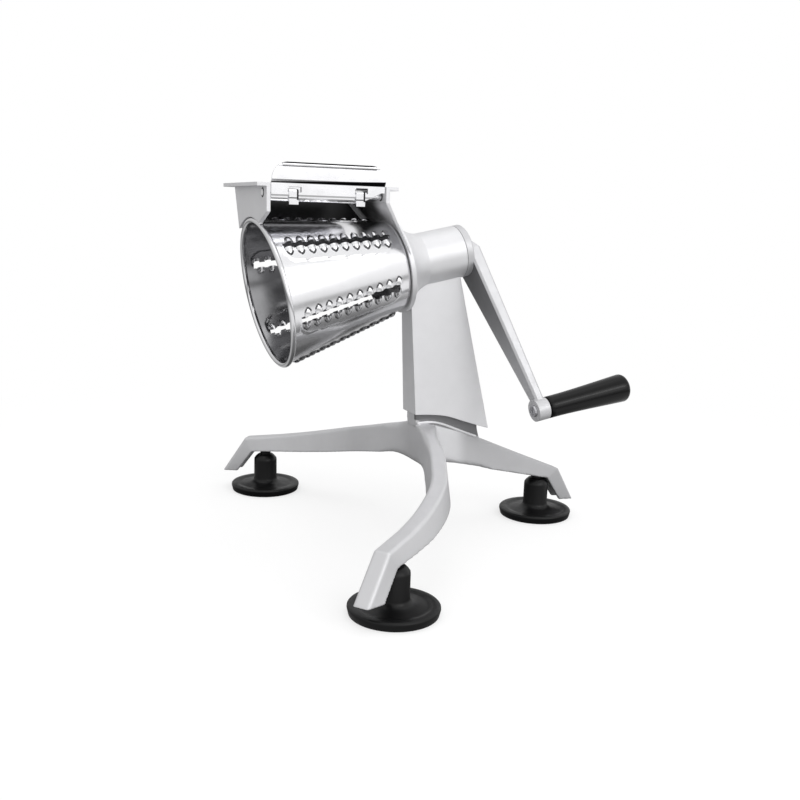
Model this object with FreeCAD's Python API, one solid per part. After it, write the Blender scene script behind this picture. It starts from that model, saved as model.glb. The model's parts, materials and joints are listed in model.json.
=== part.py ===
import FreeCAD
import Part
import math
import os

# Rotary drum shredder on a three-legged suction base. Millimetres, +Z up, floor at z = 0.
# While building, x = 0 is the mouth-side edge of the column and y = 0 the plane of the shaft.
# +X points to the crank, -Y to the open front of the hopper.

# ---- drum shaft line ----
SHAFT_TILT = 11.7            # degrees, rising towards the crank
SHAFT_HEIGHT = 236.4         # shaft line above the floor at x = 0

# ---- drum: positions are measured along the shaft from x = 0, crank side positive ----
DRUM_MOUTH_S = -130.4
DRUM_END_S = -21.9
DRUM_MOUTH_R = 58.4
DRUM_END_R = 36.9
DRUM_WALL = 0.9
RIM_BEAD_R = 2.1             # rolled lip, section radius
RIM_BEAD_RING_R = 58.1
DRUM_BASE_T = 1.6
SOCKET_R = 13.0
SOCKET_LEN = 15.0
DRUM_KNOB_R = 9.5            # screw that holds the drum on the shaft
DRUM_KNOB_T = 9.0
TOOTH_BANDS = 6
FIRST_BAND_ANGLE = 45.0      # from the top, towards the front
TEETH_PER_ROW = 10
FIRST_TOOTH_S = -116.5
TOOTH_PITCH = 9.3
SLOT_HALF_W = 1.6            # half the width of the slot between the two rows of a band
TOOTH_HALF_W = 3.5
TOOTH_LEN = 6.0              # round the drum, away from the slot
TOOTH_H = 2.4                # above the outside of the cone
TOOTH_ROOT = 1.1             # how far the tooth reaches into the wall
TOOTH_WALL = 0.6
TOOTH_TAPER = 0.45           # width at the far end, as a share of the width at the slot
TOOTH_ARCH = [(-1.0, 0.0), (-0.8, 0.72), (-0.38, 1.0), (0.38, 1.0), (0.8, 0.72), (1.0, 0.0)]
DRIVE_SQUARE = 9.0
DRIVE_CLEARANCE = 0.05

# ---- shaft, bushes and their fits ----
SHAFT_R = 6.5
BUSH_R = 10.0
BUSH_FLANGE_R = 12.5
BUSH_FLANGE_T = 1.5
BUSH_LEN = 16.0
RUNNING_FIT = 0.05           # radial
WASHER_T = 1.0
DRUM_GAP = 1.0               # drum base to the bell

# ---- bell and barrel of the body casting ----
BELL_R = 39.5
BELL_T = 3.7
BELL_FILLET_MID_S = -9.0
BELL_FILLET_MID_R = 28.6
BELL_FILLET_END_S = 4.0
BARREL_R = 22.2
BARREL_END_S = 39.3

# ---- hopper ----
RIM_Z = 295.0
RIM_T = 2.8
RIM_W = 7.2
HOPPER_LEFT_X = -141.3
HOPPER_RIGHT_X = -43.5
HOPPER_FRONT_Y = -44.2
HOPPER_BACK_Y = 47.7
HOPPER_WALL = 3.0
BACK_WALL_FOOT_Y = 30.0      # outer face of the back wall at its foot
BACK_WALL_FOOT_Z = 253.0
RIGHT_WALL_STRAIGHT_Z = 283.0
BELL_ARC_HALF_ANGLE = 75.0   # where the right wall runs into the bell, from the top
FLARE_STEPS = 13
FLARE_RUN = 0.56             # sideways run of the flare for each mm down, at the back wall
DRUM_CLEARANCE = 1.7
RIM_CLEARANCE = 2.4
CORNER_CUT_Z = 274.1
CORNER_CUT_MID_Y = -37.0
CORNER_CUT_MID_Z = 271.0
CORNER_CUT_END_Y = -24.0
CORNER_CUT_END_Z = 265.5

# ---- column sleeve and the post inside it ----
COLUMN_LEFT_X_TOP = -8.1
COLUMN_RIGHT_X_FOOT = 71.5
COLUMN_RIGHT_X_TOP = 36.4
COLUMN_FOOT_HALF_D = 13.3
COLUMN_TOP_HALF_D = 9.0
COLUMN_FOOT_Z = 90.6         # lowest corner, crank side
COLUMN_TOP_Z = 236.0
COLUMN_LEFT_FOOT_Z = 106.6
SKIRT_WAVE = [(18.7, 105.4), (31.8, 103.2), (45.2, 98.7), (60.0, 93.9)]
POST_LEFT_X = 2.4
POST_RIGHT_X_FOOT = 65.6
POST_RIGHT_X_TOP = 43.9
POST_FOOT_Z = 84.0
POST_TOP_Z = 168.0
POST_FOOT_HALF_D = 9.6
POST_TOP_HALF_D = 7.2
SLEEVE_FIT = 0.05
POST_STEP_X = 4.9
POST_STEP_D = 0.8
BEAD_R = 1.1
POST_BELOW_BEAD = 3.0        # where the post ends in the hub of the legs
BEAD_LINE = [(3.5, 98.3), (10.0, 99.0), (17.5, 98.7), (26.6, 96.6), (36.6, 92.6), (46.8, 88.3), (61.0, 83.0)]

# ---- clamp screws through the crank-side wall of the column ----
CLAMP_SCREW_R = 3.0
CLAMP_SCREW_Z = 118.0
CLAMP_HEAD_R = 5.0
CLAMP_HEAD_T = 3.4
CLAMP_SCREW_LEN = 15.0

# ---- legs: x, y, top, underside, half width at the top, outer and inner half width at the underside ----
CURVED_LEG = [
    (12.5, 0.0, 98.0, 61.5, 10.0, 13.0, 8.6),
    (11.2, -12.0, 96.4, 61.8, 8.0, 11.6, 7.4),
    (8.6, -23.4, 93.0, 62.5, 6.4, 10.6, 7.2),
    (5.6, -38.3, 88.9, 61.2, 6.2, 9.8, 8.2),
    (0.4, -56.2, 83.9, 58.3, 6.2, 9.4, 9.4),
    (-6.7, -73.6, 78.9, 55.0, 6.2, 9.2, 9.8),
    (-15.8, -93.0, 73.5, 51.0, 6.2, 9.8, 10.0),
    (-29.5, -111.5, 67.7, 47.2, 6.2, 10.4, 9.8),
    (-50.4, -133.3, 60.9, 43.4, 6.2, 10.6, 9.6),
    (-71.0, -151.0, 56.0, 41.0, 6.2, 9.8, 9.2),
]
CURVED_KNEE_TOP = (-97.5, -171.0, 51.5)
CURVED_KNEE_FOOT = (-91.0, -166.3, 38.7)
CURVED_TIP_TOP = (-117.0, -181.5, 17.3)
CURVED_TIP_FOOT = (-103.5, -175.3, 17.8)
STRAIGHT_LEG = [
    (7.5, 97.0, 64.0, 9.0, 12.0),
    (20.0, 98.0, 63.8, 10.4, 14.6),
    (34.0, 93.4, 61.2, 10.4, 14.8),
    (50.0, 87.0, 57.6, 9.8, 14.2),
    (70.0, 78.8, 53.0, 8.4, 12.4),
    (92.0, 69.6, 48.0, 6.9, 10.8),
    (116.0, 59.6, 42.4, 6.3, 9.8),
]
STRAIGHT_KNEE_TOP = (154.5, 44.0)
STRAIGHT_KNEE_FOOT = (141.0, 36.7)
STRAIGHT_TIP_TOP = (172.5, 12.6)
STRAIGHT_TIP_FOOT = (156.5, 14.2)
KNEE_HALF_W_TOP = 6.2
KNEE_HALF_W_FOOT = 8.8
TIP_HALF_W_TOP = 6.2
TIP_HALF_W_FOOT = 8.2
EDGE_ROUND = 1.6
LEG_WALL = 3.2
LEG_STEPS = 3                # sections between two stations

# ---- suction feet ----
CURVED_FOOT = (-81.8, 159.4)
STRAIGHT_FOOT_X = 134.3
CUP_R = 33.3
CUP_EDGE_H = 6.8
CUP_EDGE_INSET = 1.2
CUP_STEM_R = 11.1
CUP_STEM_TOP = 36.0
CUP_STEM_CHAMFER = 4.0
STUD_R = 5.0
STUD_FOOT_Z = 24.0
STUD_TOP_Z = 49.0
STUD_HOLE_TOP_Z = 49.5
LEG_BOSS_R = 8.6

# ---- crank: r is measured from the shaft line along the arm ----
# arm stations: r, inner face, outer face, width
CRANK_ANGLE = 27.6           # degrees from straight down, towards the front
CRANK_RADIUS = 151.0
CRANK_GAP = 0.3
HUB_END_S = 46.0
HUB_PAD_R = 8.5               # raised seat of the crank screw
ARM_STATIONS = [(-5.0, 42.0, 46.2, 34.0), (5.0, 43.2, 54.6, 34.0), (146.0, 59.0, 66.9, 11.2)]
ARM_EDGE = 1.7
BOSS_R = 9.3
BOSS_INNER_S = 56.4
BOSS_OUTER_S = 67.4
HUB_SOCKET_LEN = 5.0
CRANK_SCREW_R = 3.0
CRANK_SCREW_HEAD_R = 6.0
CRANK_SCREW_HEAD_T = 3.6
CRANK_SCREW_BEVEL = 0.8
CRANK_SCREW_REACH = 11.0     # into the shaft
CRANK_SCREW_TAP = 12.0       # depth of the tapped holes in the shaft
CRANK_SEAT_S = 46.5          # flat under the screw head
CRANK_SEAT_FIT = 0.3

# ---- grip ----
GRIP_SPLAY = 1.6             # degrees, the free end leaning away from the shaft
GRIP_PROFILE = [(0.0, 8.7), (0.6, 9.3), (18.0, 9.5), (38.0, 10.3), (60.0, 11.4), (74.5, 12.1)]
GRIP_LEN = 80.5
GRIP_CAP_STEPS = 6
SPINDLE_R = 4.0
SPINDLE_HEAD_R = 5.2
SPINDLE_HEAD_T = 1.6
SPINDLE_END = 68.0
GRIP_WASHER_T = 0.9
GRIP_WASHER_R = 7.6
GRIP_END_PLAY = 0.3
SPINDLE_NUT_R = 6.2
SPINDLE_NUT_T = 4.0

# ---- guard over the hopper, its rod and hooks ----
ROD_Y = -33.7
ROD_Z = 287.8
ROD_R = 2.5
GROMMET_R = 3.7
ROD_FIT = 0.05
GUARD_SIDE_GAP = 0.8
GUARD_T = 1.2
GUARD_FRONT_Y = -44.8
GUARD_TOP_Z = 309.6
GUARD_STEP_Z = 296.4
GUARD_STEP = 1.6
GUARD_FOOT_Z = 281.8
GUARD_BEND_R = 5.0
GUARD_BACK_Y = 33.5
GUARD_HEM_R = 1.75
GUARD_CORNER_R = 13.0
GUARD_CLIP_W = 15.5          # clipped off the presser on the crank side
HOOK_W = 7.2
HOOK_T = 1.3
HOOK_CENTRES_X = [-120.6, -67.6]
HOOK_FOOT_Z = 279.6
HOOK_SLOT_GAP = 0.6
HOOK_SLOT_EXTRA = 1.6        # further slot width on the crank side
HOOK_SLOT_H = 3.4
HOOK_STRAP_Z = 290.0

TILT = math.radians(SHAFT_TILT)
AXIS = FreeCAD.Vector(math.cos(TILT), 0, math.sin(TILT))
UP = FreeCAD.Vector(-math.sin(TILT), 0, math.cos(TILT))
SIDE = FreeCAD.Vector(0, 1, 0)
ORIGIN = FreeCAD.Vector(0, 0, SHAFT_HEIGHT)


def vec(x, y, z):
    return FreeCAD.Vector(x, y, z)


def placed(point, direction):
    """Placement taking local +X to a direction and the local origin to a point."""
    turn = FreeCAD.Rotation(vec(1, 0, 0), direction)
    return FreeCAD.Placement(point, turn)


def on_shaft(shape):
    """Shape made along local +X, moved onto the tilted shaft line."""
    turn = FreeCAD.Rotation(vec(0, 1, 0), -SHAFT_TILT)
    copy = shape.copy()
    copy.Placement = FreeCAD.Placement(ORIGIN, turn).multiply(copy.Placement)
    return copy


def polygon(points):
    return Part.Face(Part.makePolygon(points + [points[0]]))


def turned(points):
    """Ring or disc from (s, r) points, about local X."""
    face = polygon([vec(s, 0, r) for s, r in points])
    return face.revolve(vec(0, 0, 0), vec(1, 0, 0), 360)


def rod(s0, s1, radius):
    return Part.makeCylinder(radius, s1 - s0, vec(s0, 0, 0), vec(1, 0, 0))


def fuse(shapes):
    joined = shapes[0].multiFuse(shapes[1:]).removeSplitter()
    return single(joined)


def single(shape):
    """The one solid of a shape; slivers left by a cut are dropped."""
    solids = sorted(shape.Solids, key=lambda s: s.Volume)
    return solids[-1]


def cut(body, tools):
    return single(body.cut(Part.makeCompound(tools)))


def loft(wires, ruled):
    return Part.makeLoft(wires, True, ruled)


def wire(points):
    return Part.makePolygon(points + [points[0]])


def skinned(top, foot):
    """Solid between two flat outlines with the same number of corners."""
    count = len(top)
    faces = [Part.Face(wire(top)), Part.Face(wire(foot))]
    for n in range(count):
        m = (n + 1) % count
        faces.append(Part.makeRuledSurface(Part.makeLine(top[n], top[m]), Part.makeLine(foot[n], foot[m])))
    shell = Part.makeShell(faces)
    shell.sewShape()
    solid = Part.makeSolid(Part.Shell(shell.Faces))
    if solid.Volume < 0:
        solid.reverse()
    return solid


def mirrored(shape):
    return shape.mirror(vec(0, 0, 0), vec(0, 1, 0))


def prism_y(points, y0, y1):
    """Prism from (x, z) points, between two y planes."""
    face = polygon([vec(x, y0, z) for x, z in points])
    return face.extrude(vec(0, y1 - y0, 0))


def prism_x(points, x0, x1):
    """Prism from (y, z) points, between two x planes."""
    face = polygon([vec(x0, y, z) for y, z in points])
    return face.extrude(vec(x1 - x0, 0, 0))


# ---------------------------------------------------------------- drum
def cone_radius(s):
    share = (s - DRUM_MOUTH_S) / (DRUM_END_S - DRUM_MOUTH_S)
    return DRUM_MOUTH_R + share * (DRUM_END_R - DRUM_MOUTH_R)


def around(angle):
    """Unit vector across the local shaft line; 0 is up, positive turns to the front."""
    a = math.radians(angle)
    return vec(0, -math.sin(a), math.cos(a))


def arch(centre, out, half, height):
    """Outline of a tooth across the drum: a flat-topped arch standing on its centre."""
    return wire([centre + vec(1, 0, 0) * (x * half) + out * (z * height) for x, z in TOOTH_ARCH])


def hood(s, angle, side, shrink):
    """Block in the shape of one tooth, tall at the slot and running out into the cone."""
    radius = cone_radius(s)
    out = around(angle + math.degrees(side * SLOT_HALF_W / radius))
    away = vec(0, -out.z, out.y) * side
    near = vec(s, 0, 0) + out * (radius - TOOTH_ROOT)
    length = TOOTH_LEN - shrink
    far = near + away * length - out * (length * length / 2 / radius)
    half = TOOTH_HALF_W - shrink
    height = TOOTH_H + TOOTH_ROOT - shrink
    return loft([
        arch(near - away * 0.3, out, half, height),
        arch(far, out, half * TOOTH_TAPER, TOOTH_ROOT - shrink * 0.4),
    ], True)


def drum_cone():
    """Cone with a rolled lip and bands of punched teeth, two rows to each long slot."""
    shell = turned([
        (DRUM_MOUTH_S, DRUM_MOUTH_R - DRUM_WALL),
        (DRUM_MOUTH_S, DRUM_MOUTH_R),
        (DRUM_END_S, DRUM_END_R),
        (DRUM_END_S, DRUM_END_R - DRUM_WALL),
    ])
    core = turned([
        (DRUM_MOUTH_S - 1, 0), (DRUM_MOUTH_S - 1, cone_radius(DRUM_MOUTH_S - 1) - DRUM_WALL),
        (DRUM_END_S + 1, cone_radius(DRUM_END_S + 1) - DRUM_WALL), (DRUM_END_S + 1, 0),
    ])
    bead = Part.makeTorus(RIM_BEAD_RING_R, RIM_BEAD_R, vec(DRUM_MOUTH_S, 0, 0), vec(1, 0, 0))
    slots = []
    teeth = []
    hollows = []
    for band in range(TOOTH_BANDS):
        angle = FIRST_BAND_ANGLE + band * 360.0 / TOOTH_BANDS
        slot = Part.makeBox(
            TOOTH_PITCH * TEETH_PER_ROW, 2 * SLOT_HALF_W, DRUM_MOUTH_R,
            vec(FIRST_TOOTH_S - TOOTH_PITCH * 0.5, -SLOT_HALF_W, DRUM_END_R * 0.5))
        slot.rotate(vec(0, 0, 0), vec(1, 0, 0), angle)
        slots.append(slot)
        for side in (-1, 1):
            for n in range(TEETH_PER_ROW):
                s = FIRST_TOOTH_S + n * TOOTH_PITCH
                teeth.append(hood(s, angle, side, 0.0))
                hollows.append(hood(s, angle, side, TOOTH_WALL))
    body = cut(fuse([shell] + teeth), [core] + hollows + slots)
    return fuse([body, bead])


def square_bar(s0, s1, across):
    return Part.makeBox(s1 - s0, across, across, vec(s0, -across / 2, -across / 2))


def drum_base():
    plate = turned([
        (DRUM_END_S - DRUM_BASE_T, 0),
        (DRUM_END_S - DRUM_BASE_T, DRUM_END_R - DRUM_WALL + 0.25),
        (DRUM_END_S, DRUM_END_R - DRUM_WALL),
        (DRUM_END_S, 0),
    ])
    keep = turned([
        (DRUM_END_S - DRUM_BASE_T - 1, 0),
        (DRUM_END_S - DRUM_BASE_T - 1, DRUM_END_R - DRUM_WALL),
        (DRUM_END_S + 1, DRUM_END_R - DRUM_WALL),
        (DRUM_END_S + 1, 0),
    ])
    hole = square_bar(DRUM_END_S - DRUM_BASE_T - 2, DRUM_END_S + 2, DRIVE_SQUARE + 2 * DRIVE_CLEARANCE)
    return cut(single(plate.common(keep)), [hole])


def drum_socket():
    s1 = DRUM_END_S - DRUM_BASE_T
    s0 = s1 - SOCKET_LEN
    body = rod(s0, s1, SOCKET_R)
    hole = square_bar(s0 - 1, s1 + 1, DRIVE_SQUARE + 2 * DRIVE_CLEARANCE)
    return cut(body, [hole])


SHAFT_SQUARE_S0 = DRUM_END_S - DRUM_BASE_T - SOCKET_LEN + 1.0
SHAFT_SHOULDER_S = DRUM_END_S
HUB_SOCKET_S1 = BARREL_END_S + CRANK_GAP + HUB_SOCKET_LEN


def drive_shaft():
    square = square_bar(SHAFT_SQUARE_S0, SHAFT_SHOULDER_S, DRIVE_SQUARE)
    body = rod(SHAFT_SHOULDER_S, BARREL_END_S + CRANK_GAP, SHAFT_R)
    tail = square_bar(BARREL_END_S + CRANK_GAP, HUB_SOCKET_S1 - 0.5, DRIVE_SQUARE)
    shaft = fuse([square, body, tail])
    tapped_front = rod(SHAFT_SQUARE_S0 - 1, SHAFT_SQUARE_S0 + CRANK_SCREW_TAP, CRANK_SCREW_R)
    tapped_back = rod(HUB_SOCKET_S1 - CRANK_SCREW_TAP, HUB_SOCKET_S1 + 1, CRANK_SCREW_R)
    return cut(shaft, [tapped_front, tapped_back])


def drum_screw():
    face = SHAFT_SQUARE_S0 - 1.0
    top = face - DRUM_KNOB_T
    r = DRUM_KNOB_R
    head = turned([(top, 0), (top, r - 1), (top + 1, r), (face - 1, r), (face, r - 1), (face, 0)])
    stem = rod(face, SHAFT_SQUARE_S0 + CRANK_SCREW_REACH, CRANK_SCREW_R)
    return fuse([head, stem])


# ---------------------------------------------------------------- bushes and washer
BELL_FACE_S = DRUM_END_S + DRUM_GAP
WASHER_S0 = DRUM_END_S
BUSH_FACE_S = WASHER_S0 + WASHER_T


def front_bush():
    bore = SHAFT_R + RUNNING_FIT
    s0 = BUSH_FACE_S
    return turned([
        (s0, bore), (s0, BUSH_FLANGE_R), (s0 + BUSH_FLANGE_T, BUSH_FLANGE_R),
        (s0 + BUSH_FLANGE_T, BUSH_R), (s0 + BUSH_FLANGE_T + BUSH_LEN, BUSH_R),
        (s0 + BUSH_FLANGE_T + BUSH_LEN, bore),
    ])


def rear_bush():
    bore = SHAFT_R + RUNNING_FIT
    s1 = BARREL_END_S
    return turned([(s1 - BUSH_LEN, bore), (s1 - BUSH_LEN, BUSH_R), (s1, BUSH_R), (s1, bore)])


def thrust_washer():
    bore = SHAFT_R + RUNNING_FIT
    return turned([
        (WASHER_S0, bore), (WASHER_S0, BUSH_FLANGE_R), (WASHER_S0 + WASHER_T, BUSH_FLANGE_R),
        (WASHER_S0 + WASHER_T, bore),
    ])


# ---------------------------------------------------------------- body casting
def column_x_left(z):
    slope = COLUMN_LEFT_X_TOP / (COLUMN_TOP_Z - COLUMN_LEFT_FOOT_Z)
    return slope * (z - COLUMN_LEFT_FOOT_Z)


def column_block():
    wires = []
    for z in (COLUMN_FOOT_Z - 12.0, COLUMN_TOP_Z):
        share = (z - COLUMN_FOOT_Z) / (COLUMN_TOP_Z - COLUMN_FOOT_Z)
        x0 = column_x_left(z)
        x1 = COLUMN_RIGHT_X_FOOT + share * (COLUMN_RIGHT_X_TOP - COLUMN_RIGHT_X_FOOT)
        d = COLUMN_FOOT_HALF_D + share * (COLUMN_TOP_HALF_D - COLUMN_FOOT_HALF_D)
        wires.append(wire([vec(x0, -d, z), vec(x1, -d, z), vec(x1, d, z), vec(x0, d, z)]))
    block = loft(wires, True)
    line = [(-20.0, COLUMN_LEFT_FOOT_Z), (0.0, COLUMN_LEFT_FOOT_Z)] + SKIRT_WAVE
    line += [(COLUMN_RIGHT_X_FOOT, COLUMN_FOOT_Z), (85.0, COLUMN_FOOT_Z - 2.0)]
    below = prism_y(smooth(line) + [(85.0, 60.0), (-20.0, 60.0)], -40, 40)
    return single(block.cut(below))


def post_block(extra):
    """The post, grown by a clearance on every side; also the tool that hollows the sleeve."""
    wires = []
    for z in (POST_FOOT_Z - 14.0, POST_TOP_Z + extra * 8):
        share = (z - POST_FOOT_Z) / (POST_TOP_Z - POST_FOOT_Z)
        x1 = POST_RIGHT_X_FOOT + share * (POST_RIGHT_X_TOP - POST_RIGHT_X_FOOT) + extra
        d = POST_FOOT_HALF_D + share * (POST_TOP_HALF_D - POST_FOOT_HALF_D) + extra
        x0 = POST_LEFT_X - extra + column_x_left(z) - column_x_left(98.0)
        wires.append(wire([vec(x0, -d, z), vec(x1, -d, z), vec(x1, d, z), vec(x0, d, z)]))
    return loft(wires, True)


def bell_and_barrel():
    s0 = BELL_FACE_S
    s1 = s0 + BELL_T
    fillet = Part.Arc(
        vec(s1, 0, BELL_R), vec(BELL_FILLET_MID_S, 0, BELL_FILLET_MID_R),
        vec(BELL_FILLET_END_S, 0, BARREL_R)).toShape()
    path = [
        vec(BELL_FILLET_END_S, 0, BARREL_R), vec(BARREL_END_S, 0, BARREL_R),
        vec(BARREL_END_S, 0, 0), vec(s0, 0, 0), vec(s0, 0, BELL_R), vec(s1, 0, BELL_R),
    ]
    edges = [fillet] + [Part.makeLine(path[i], path[i + 1]) for i in range(len(path) - 1)]
    face = Part.Face(Part.Wire(Part.__sortEdges__(edges)))
    return on_shaft(face.revolve(vec(0, 0, 0), vec(1, 0, 0), 360))


def arc_points(s, radius, half_angle, count):
    """Points over the top of the bell, front to back, in the machine frame."""
    out = []
    for n in range(count):
        a = math.radians(half_angle - 2 * half_angle * n / (count - 1))
        out.append(ORIGIN + AXIS * s + SIDE * (-radius * math.sin(a)) + UP * (radius * math.cos(a)))
    return out


def right_wall():
    """Flat at the rim, flaring down into the round bell."""
    y0 = HOPPER_FRONT_Y
    y1 = HOPPER_BACK_Y
    xo = HOPPER_RIGHT_X
    xi = HOPPER_RIGHT_X - HOPPER_WALL
    z = RIGHT_WALL_STRAIGHT_Z
    s = BELL_FACE_S + BELL_T * 0.6
    count = FLARE_STEPS
    inner = arc_points(s, BELL_R - HOPPER_WALL, BELL_ARC_HALF_ANGLE, count)
    outer = arc_points(s, BELL_R - 0.1, BELL_ARC_HALF_ANGLE, count)
    ys = [y0 + (y1 - y0) * n / (count - 1) for n in range(count)]
    top = [vec(xi, y, z) for y in ys] + [vec(xo, y, z) for y in reversed(ys)]
    foot = inner + outer[::-1]
    flare = skinned(top, foot)
    plate = Part.makeBox(HOPPER_WALL, y1 - y0, RIM_Z - z, vec(xi, y0, z))
    return [flare, plate]


def left_wall():
    lower = 240.0
    points = [
        (HOPPER_FRONT_Y, RIM_Z), (HOPPER_BACK_Y, RIM_Z), (BACK_WALL_FOOT_Y, BACK_WALL_FOOT_Z),
        (BACK_WALL_FOOT_Y - 4.0, lower), (CORNER_CUT_END_Y, lower), (CORNER_CUT_END_Y, CORNER_CUT_END_Z),
        (CORNER_CUT_MID_Y, CORNER_CUT_MID_Z), (HOPPER_FRONT_Y, CORNER_CUT_Z),
    ]
    return prism_x(points, HOPPER_LEFT_X, HOPPER_LEFT_X + HOPPER_WALL)


def back_wall():
    y0 = BACK_WALL_FOOT_Y - 10.0
    run = (HOPPER_BACK_Y - BACK_WALL_FOOT_Y) / (RIM_Z - BACK_WALL_FOOT_Z)
    low = BACK_WALL_FOOT_Z - 10.0 / run
    points = [
        (HOPPER_BACK_Y, RIM_Z), (y0, low),
        (y0 - HOPPER_WALL - 0.4, low), (HOPPER_BACK_Y - HOPPER_WALL - 0.4, RIM_Z),
    ]
    return prism_x(points, HOPPER_LEFT_X, HOPPER_RIGHT_X + 30.0)


def rim_flange():
    x0 = HOPPER_LEFT_X - RIM_W
    x1 = HOPPER_RIGHT_X + RIM_W
    y1 = HOPPER_BACK_Y + RIM_W
    plate = Part.makeBox(x1 - x0, y1 - HOPPER_FRONT_Y, RIM_T, vec(x0, HOPPER_FRONT_Y, RIM_Z - RIM_T))
    ix0 = HOPPER_LEFT_X + HOPPER_WALL
    ix1 = HOPPER_RIGHT_X - HOPPER_WALL
    iy1 = HOPPER_BACK_Y - HOPPER_WALL - 0.4
    well = Part.makeBox(
        ix1 - ix0, iy1 - HOPPER_FRONT_Y + 20, RIM_T + 2, vec(ix0, HOPPER_FRONT_Y - 20, RIM_Z - RIM_T - 1)
    )
    return single(plate.cut(well))


def drum_envelope():
    """Space swept by the drum and its teeth, plus clearance."""
    back = DRUM_MOUTH_S - 14.0
    mouth = DRUM_MOUTH_R + RIM_CLEARANCE
    first = FIRST_TOOTH_S - TOOTH_PITCH
    last = FIRST_TOOTH_S + TOOTH_PITCH * (TEETH_PER_ROW - 0.5)
    lift = TOOTH_H + DRUM_CLEARANCE
    return on_shaft(turned([
        (back, 0), (back, mouth), (DRUM_MOUTH_S + RIM_BEAD_R, mouth), (first, cone_radius(first) + lift),
        (last, cone_radius(last) + lift), (BELL_FACE_S, DRUM_END_R + DRUM_CLEARANCE), (BELL_FACE_S, 0),
    ]))


def body_casting():
    wall_back = back_wall()
    side = prism_y([
        (HOPPER_RIGHT_X, RIM_Z + 5), (HOPPER_RIGHT_X, RIGHT_WALL_STRAIGHT_Z),
        (HOPPER_RIGHT_X + FLARE_RUN * 60.0, RIGHT_WALL_STRAIGHT_Z - 60.0),
        (HOPPER_RIGHT_X + 80.0, RIGHT_WALL_STRAIGHT_Z - 60.0), (HOPPER_RIGHT_X + 80.0, RIM_Z + 5),
    ], -60, 100)
    wall_back = single(wall_back.cut(side))
    flare, plate = right_wall()
    shapes = [bell_and_barrel(), column_block(), flare, plate, left_wall(), wall_back, rim_flange()]
    body = fuse(shapes)
    tools = [drum_envelope(), post_block(SLEEVE_FIT)]
    bush_seat = rod(BUSH_FACE_S + BUSH_FLANGE_T, BUSH_FACE_S + BUSH_FLANGE_T + BUSH_LEN, BUSH_R)
    flange_seat = rod(BELL_FACE_S - 3, BUSH_FACE_S + BUSH_FLANGE_T, BUSH_FLANGE_R + 0.4)
    rear_seat = rod(BARREL_END_S - BUSH_LEN, BARREL_END_S + 1, BUSH_R)
    relief = rod(BUSH_FACE_S + BUSH_FLANGE_T + BUSH_LEN, BARREL_END_S - BUSH_LEN, BUSH_R - 0.6)
    tools += [on_shaft(bush_seat), on_shaft(flange_seat), on_shaft(rear_seat), on_shaft(relief)]
    for x in (HOPPER_LEFT_X - 1, HOPPER_RIGHT_X - HOPPER_WALL - 1):
        tools.append(Part.makeCylinder(GROMMET_R, HOPPER_WALL + 2, vec(x, ROD_Y, ROD_Z), vec(1, 0, 0)))
    tools.append(clamp_tool())
    return cut(body, tools)


def clamp_frame():
    """Point and inward direction of the clamp screw, square to the crank-side face."""
    rise = COLUMN_TOP_Z - COLUMN_FOOT_Z
    run = COLUMN_RIGHT_X_TOP - COLUMN_RIGHT_X_FOOT
    inward = vec(-rise, 0, run)
    inward.normalize()
    x = COLUMN_RIGHT_X_FOOT + run * (CLAMP_SCREW_Z - COLUMN_FOOT_Z) / rise
    return vec(x, 0, CLAMP_SCREW_Z), inward


def clamp_tool():
    point, inward = clamp_frame()
    return Part.makeCylinder(CLAMP_SCREW_R, CLAMP_SCREW_LEN + 4, point - inward * 2, inward)


def clamp_screw():
    point, inward = clamp_frame()
    head = Part.makeCylinder(CLAMP_HEAD_R, CLAMP_HEAD_T, point, inward * -1)
    stem = Part.makeCylinder(CLAMP_SCREW_R, CLAMP_SCREW_LEN, point, inward)
    return fuse([head, stem])


# ---------------------------------------------------------------- base
def leg_section(top, foot, across, half_top, half_outer, half_inner):
    """Closed wire across a leg: flat top with rounded edges, flaring sides."""
    e = EDGE_ROUND
    up = top - foot
    up.normalize()
    share = e / (top - foot).Length
    outer = half_top + (half_outer - half_top) * share
    inner = half_top + (half_inner - half_top) * share
    return wire([
        foot - across * half_inner,
        top - up * e - across * inner,
        top - up * (e * 0.25) - across * (half_top - e * 0.35),
        top - across * (half_top - e),
        top + across * (half_top - e),
        top - up * (e * 0.25) + across * (half_top - e * 0.35),
        top - up * e + across * outer,
        foot + across * half_outer,
    ])


def cavity_section(top, foot, across, half_top, half_outer, half_inner):
    """Closed wire of the hollow under a leg."""
    up = top - foot
    up.normalize()
    t = LEG_WALL
    roof = max(half_top - t * 0.7, 1.6)
    return wire([
        foot - across * (half_inner - t) - up * 3.0,
        top - up * t - across * roof,
        top - up * t + across * roof,
        foot + across * (half_outer - t) - up * 3.0,
    ])


def between(a, b, c, d, t):
    """Smooth curve from b to c, past a and on to d, for each value of a station."""
    out = []
    for p0, p1, p2, p3 in zip(a, b, c, d):
        slope1 = (p2 - p0) * 0.5
        slope2 = (p3 - p1) * 0.5
        u = t * t * (3 - 2 * t)
        out.append(p1 + (p2 - p1) * u + slope1 * t * (1 - t) ** 2 - slope2 * t * t * (1 - t))
    return tuple(out)


def smooth(stations):
    """Stations with further ones set between them on a smooth curve."""
    out = []
    count = len(stations)
    for n in range(count - 1):
        a = stations[max(n - 1, 0)]
        d = stations[min(n + 2, count - 1)]
        for step in range(LEG_STEPS):
            out.append(between(a, stations[n], stations[n + 1], d, step / LEG_STEPS))
    out.append(stations[-1])
    return out


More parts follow.
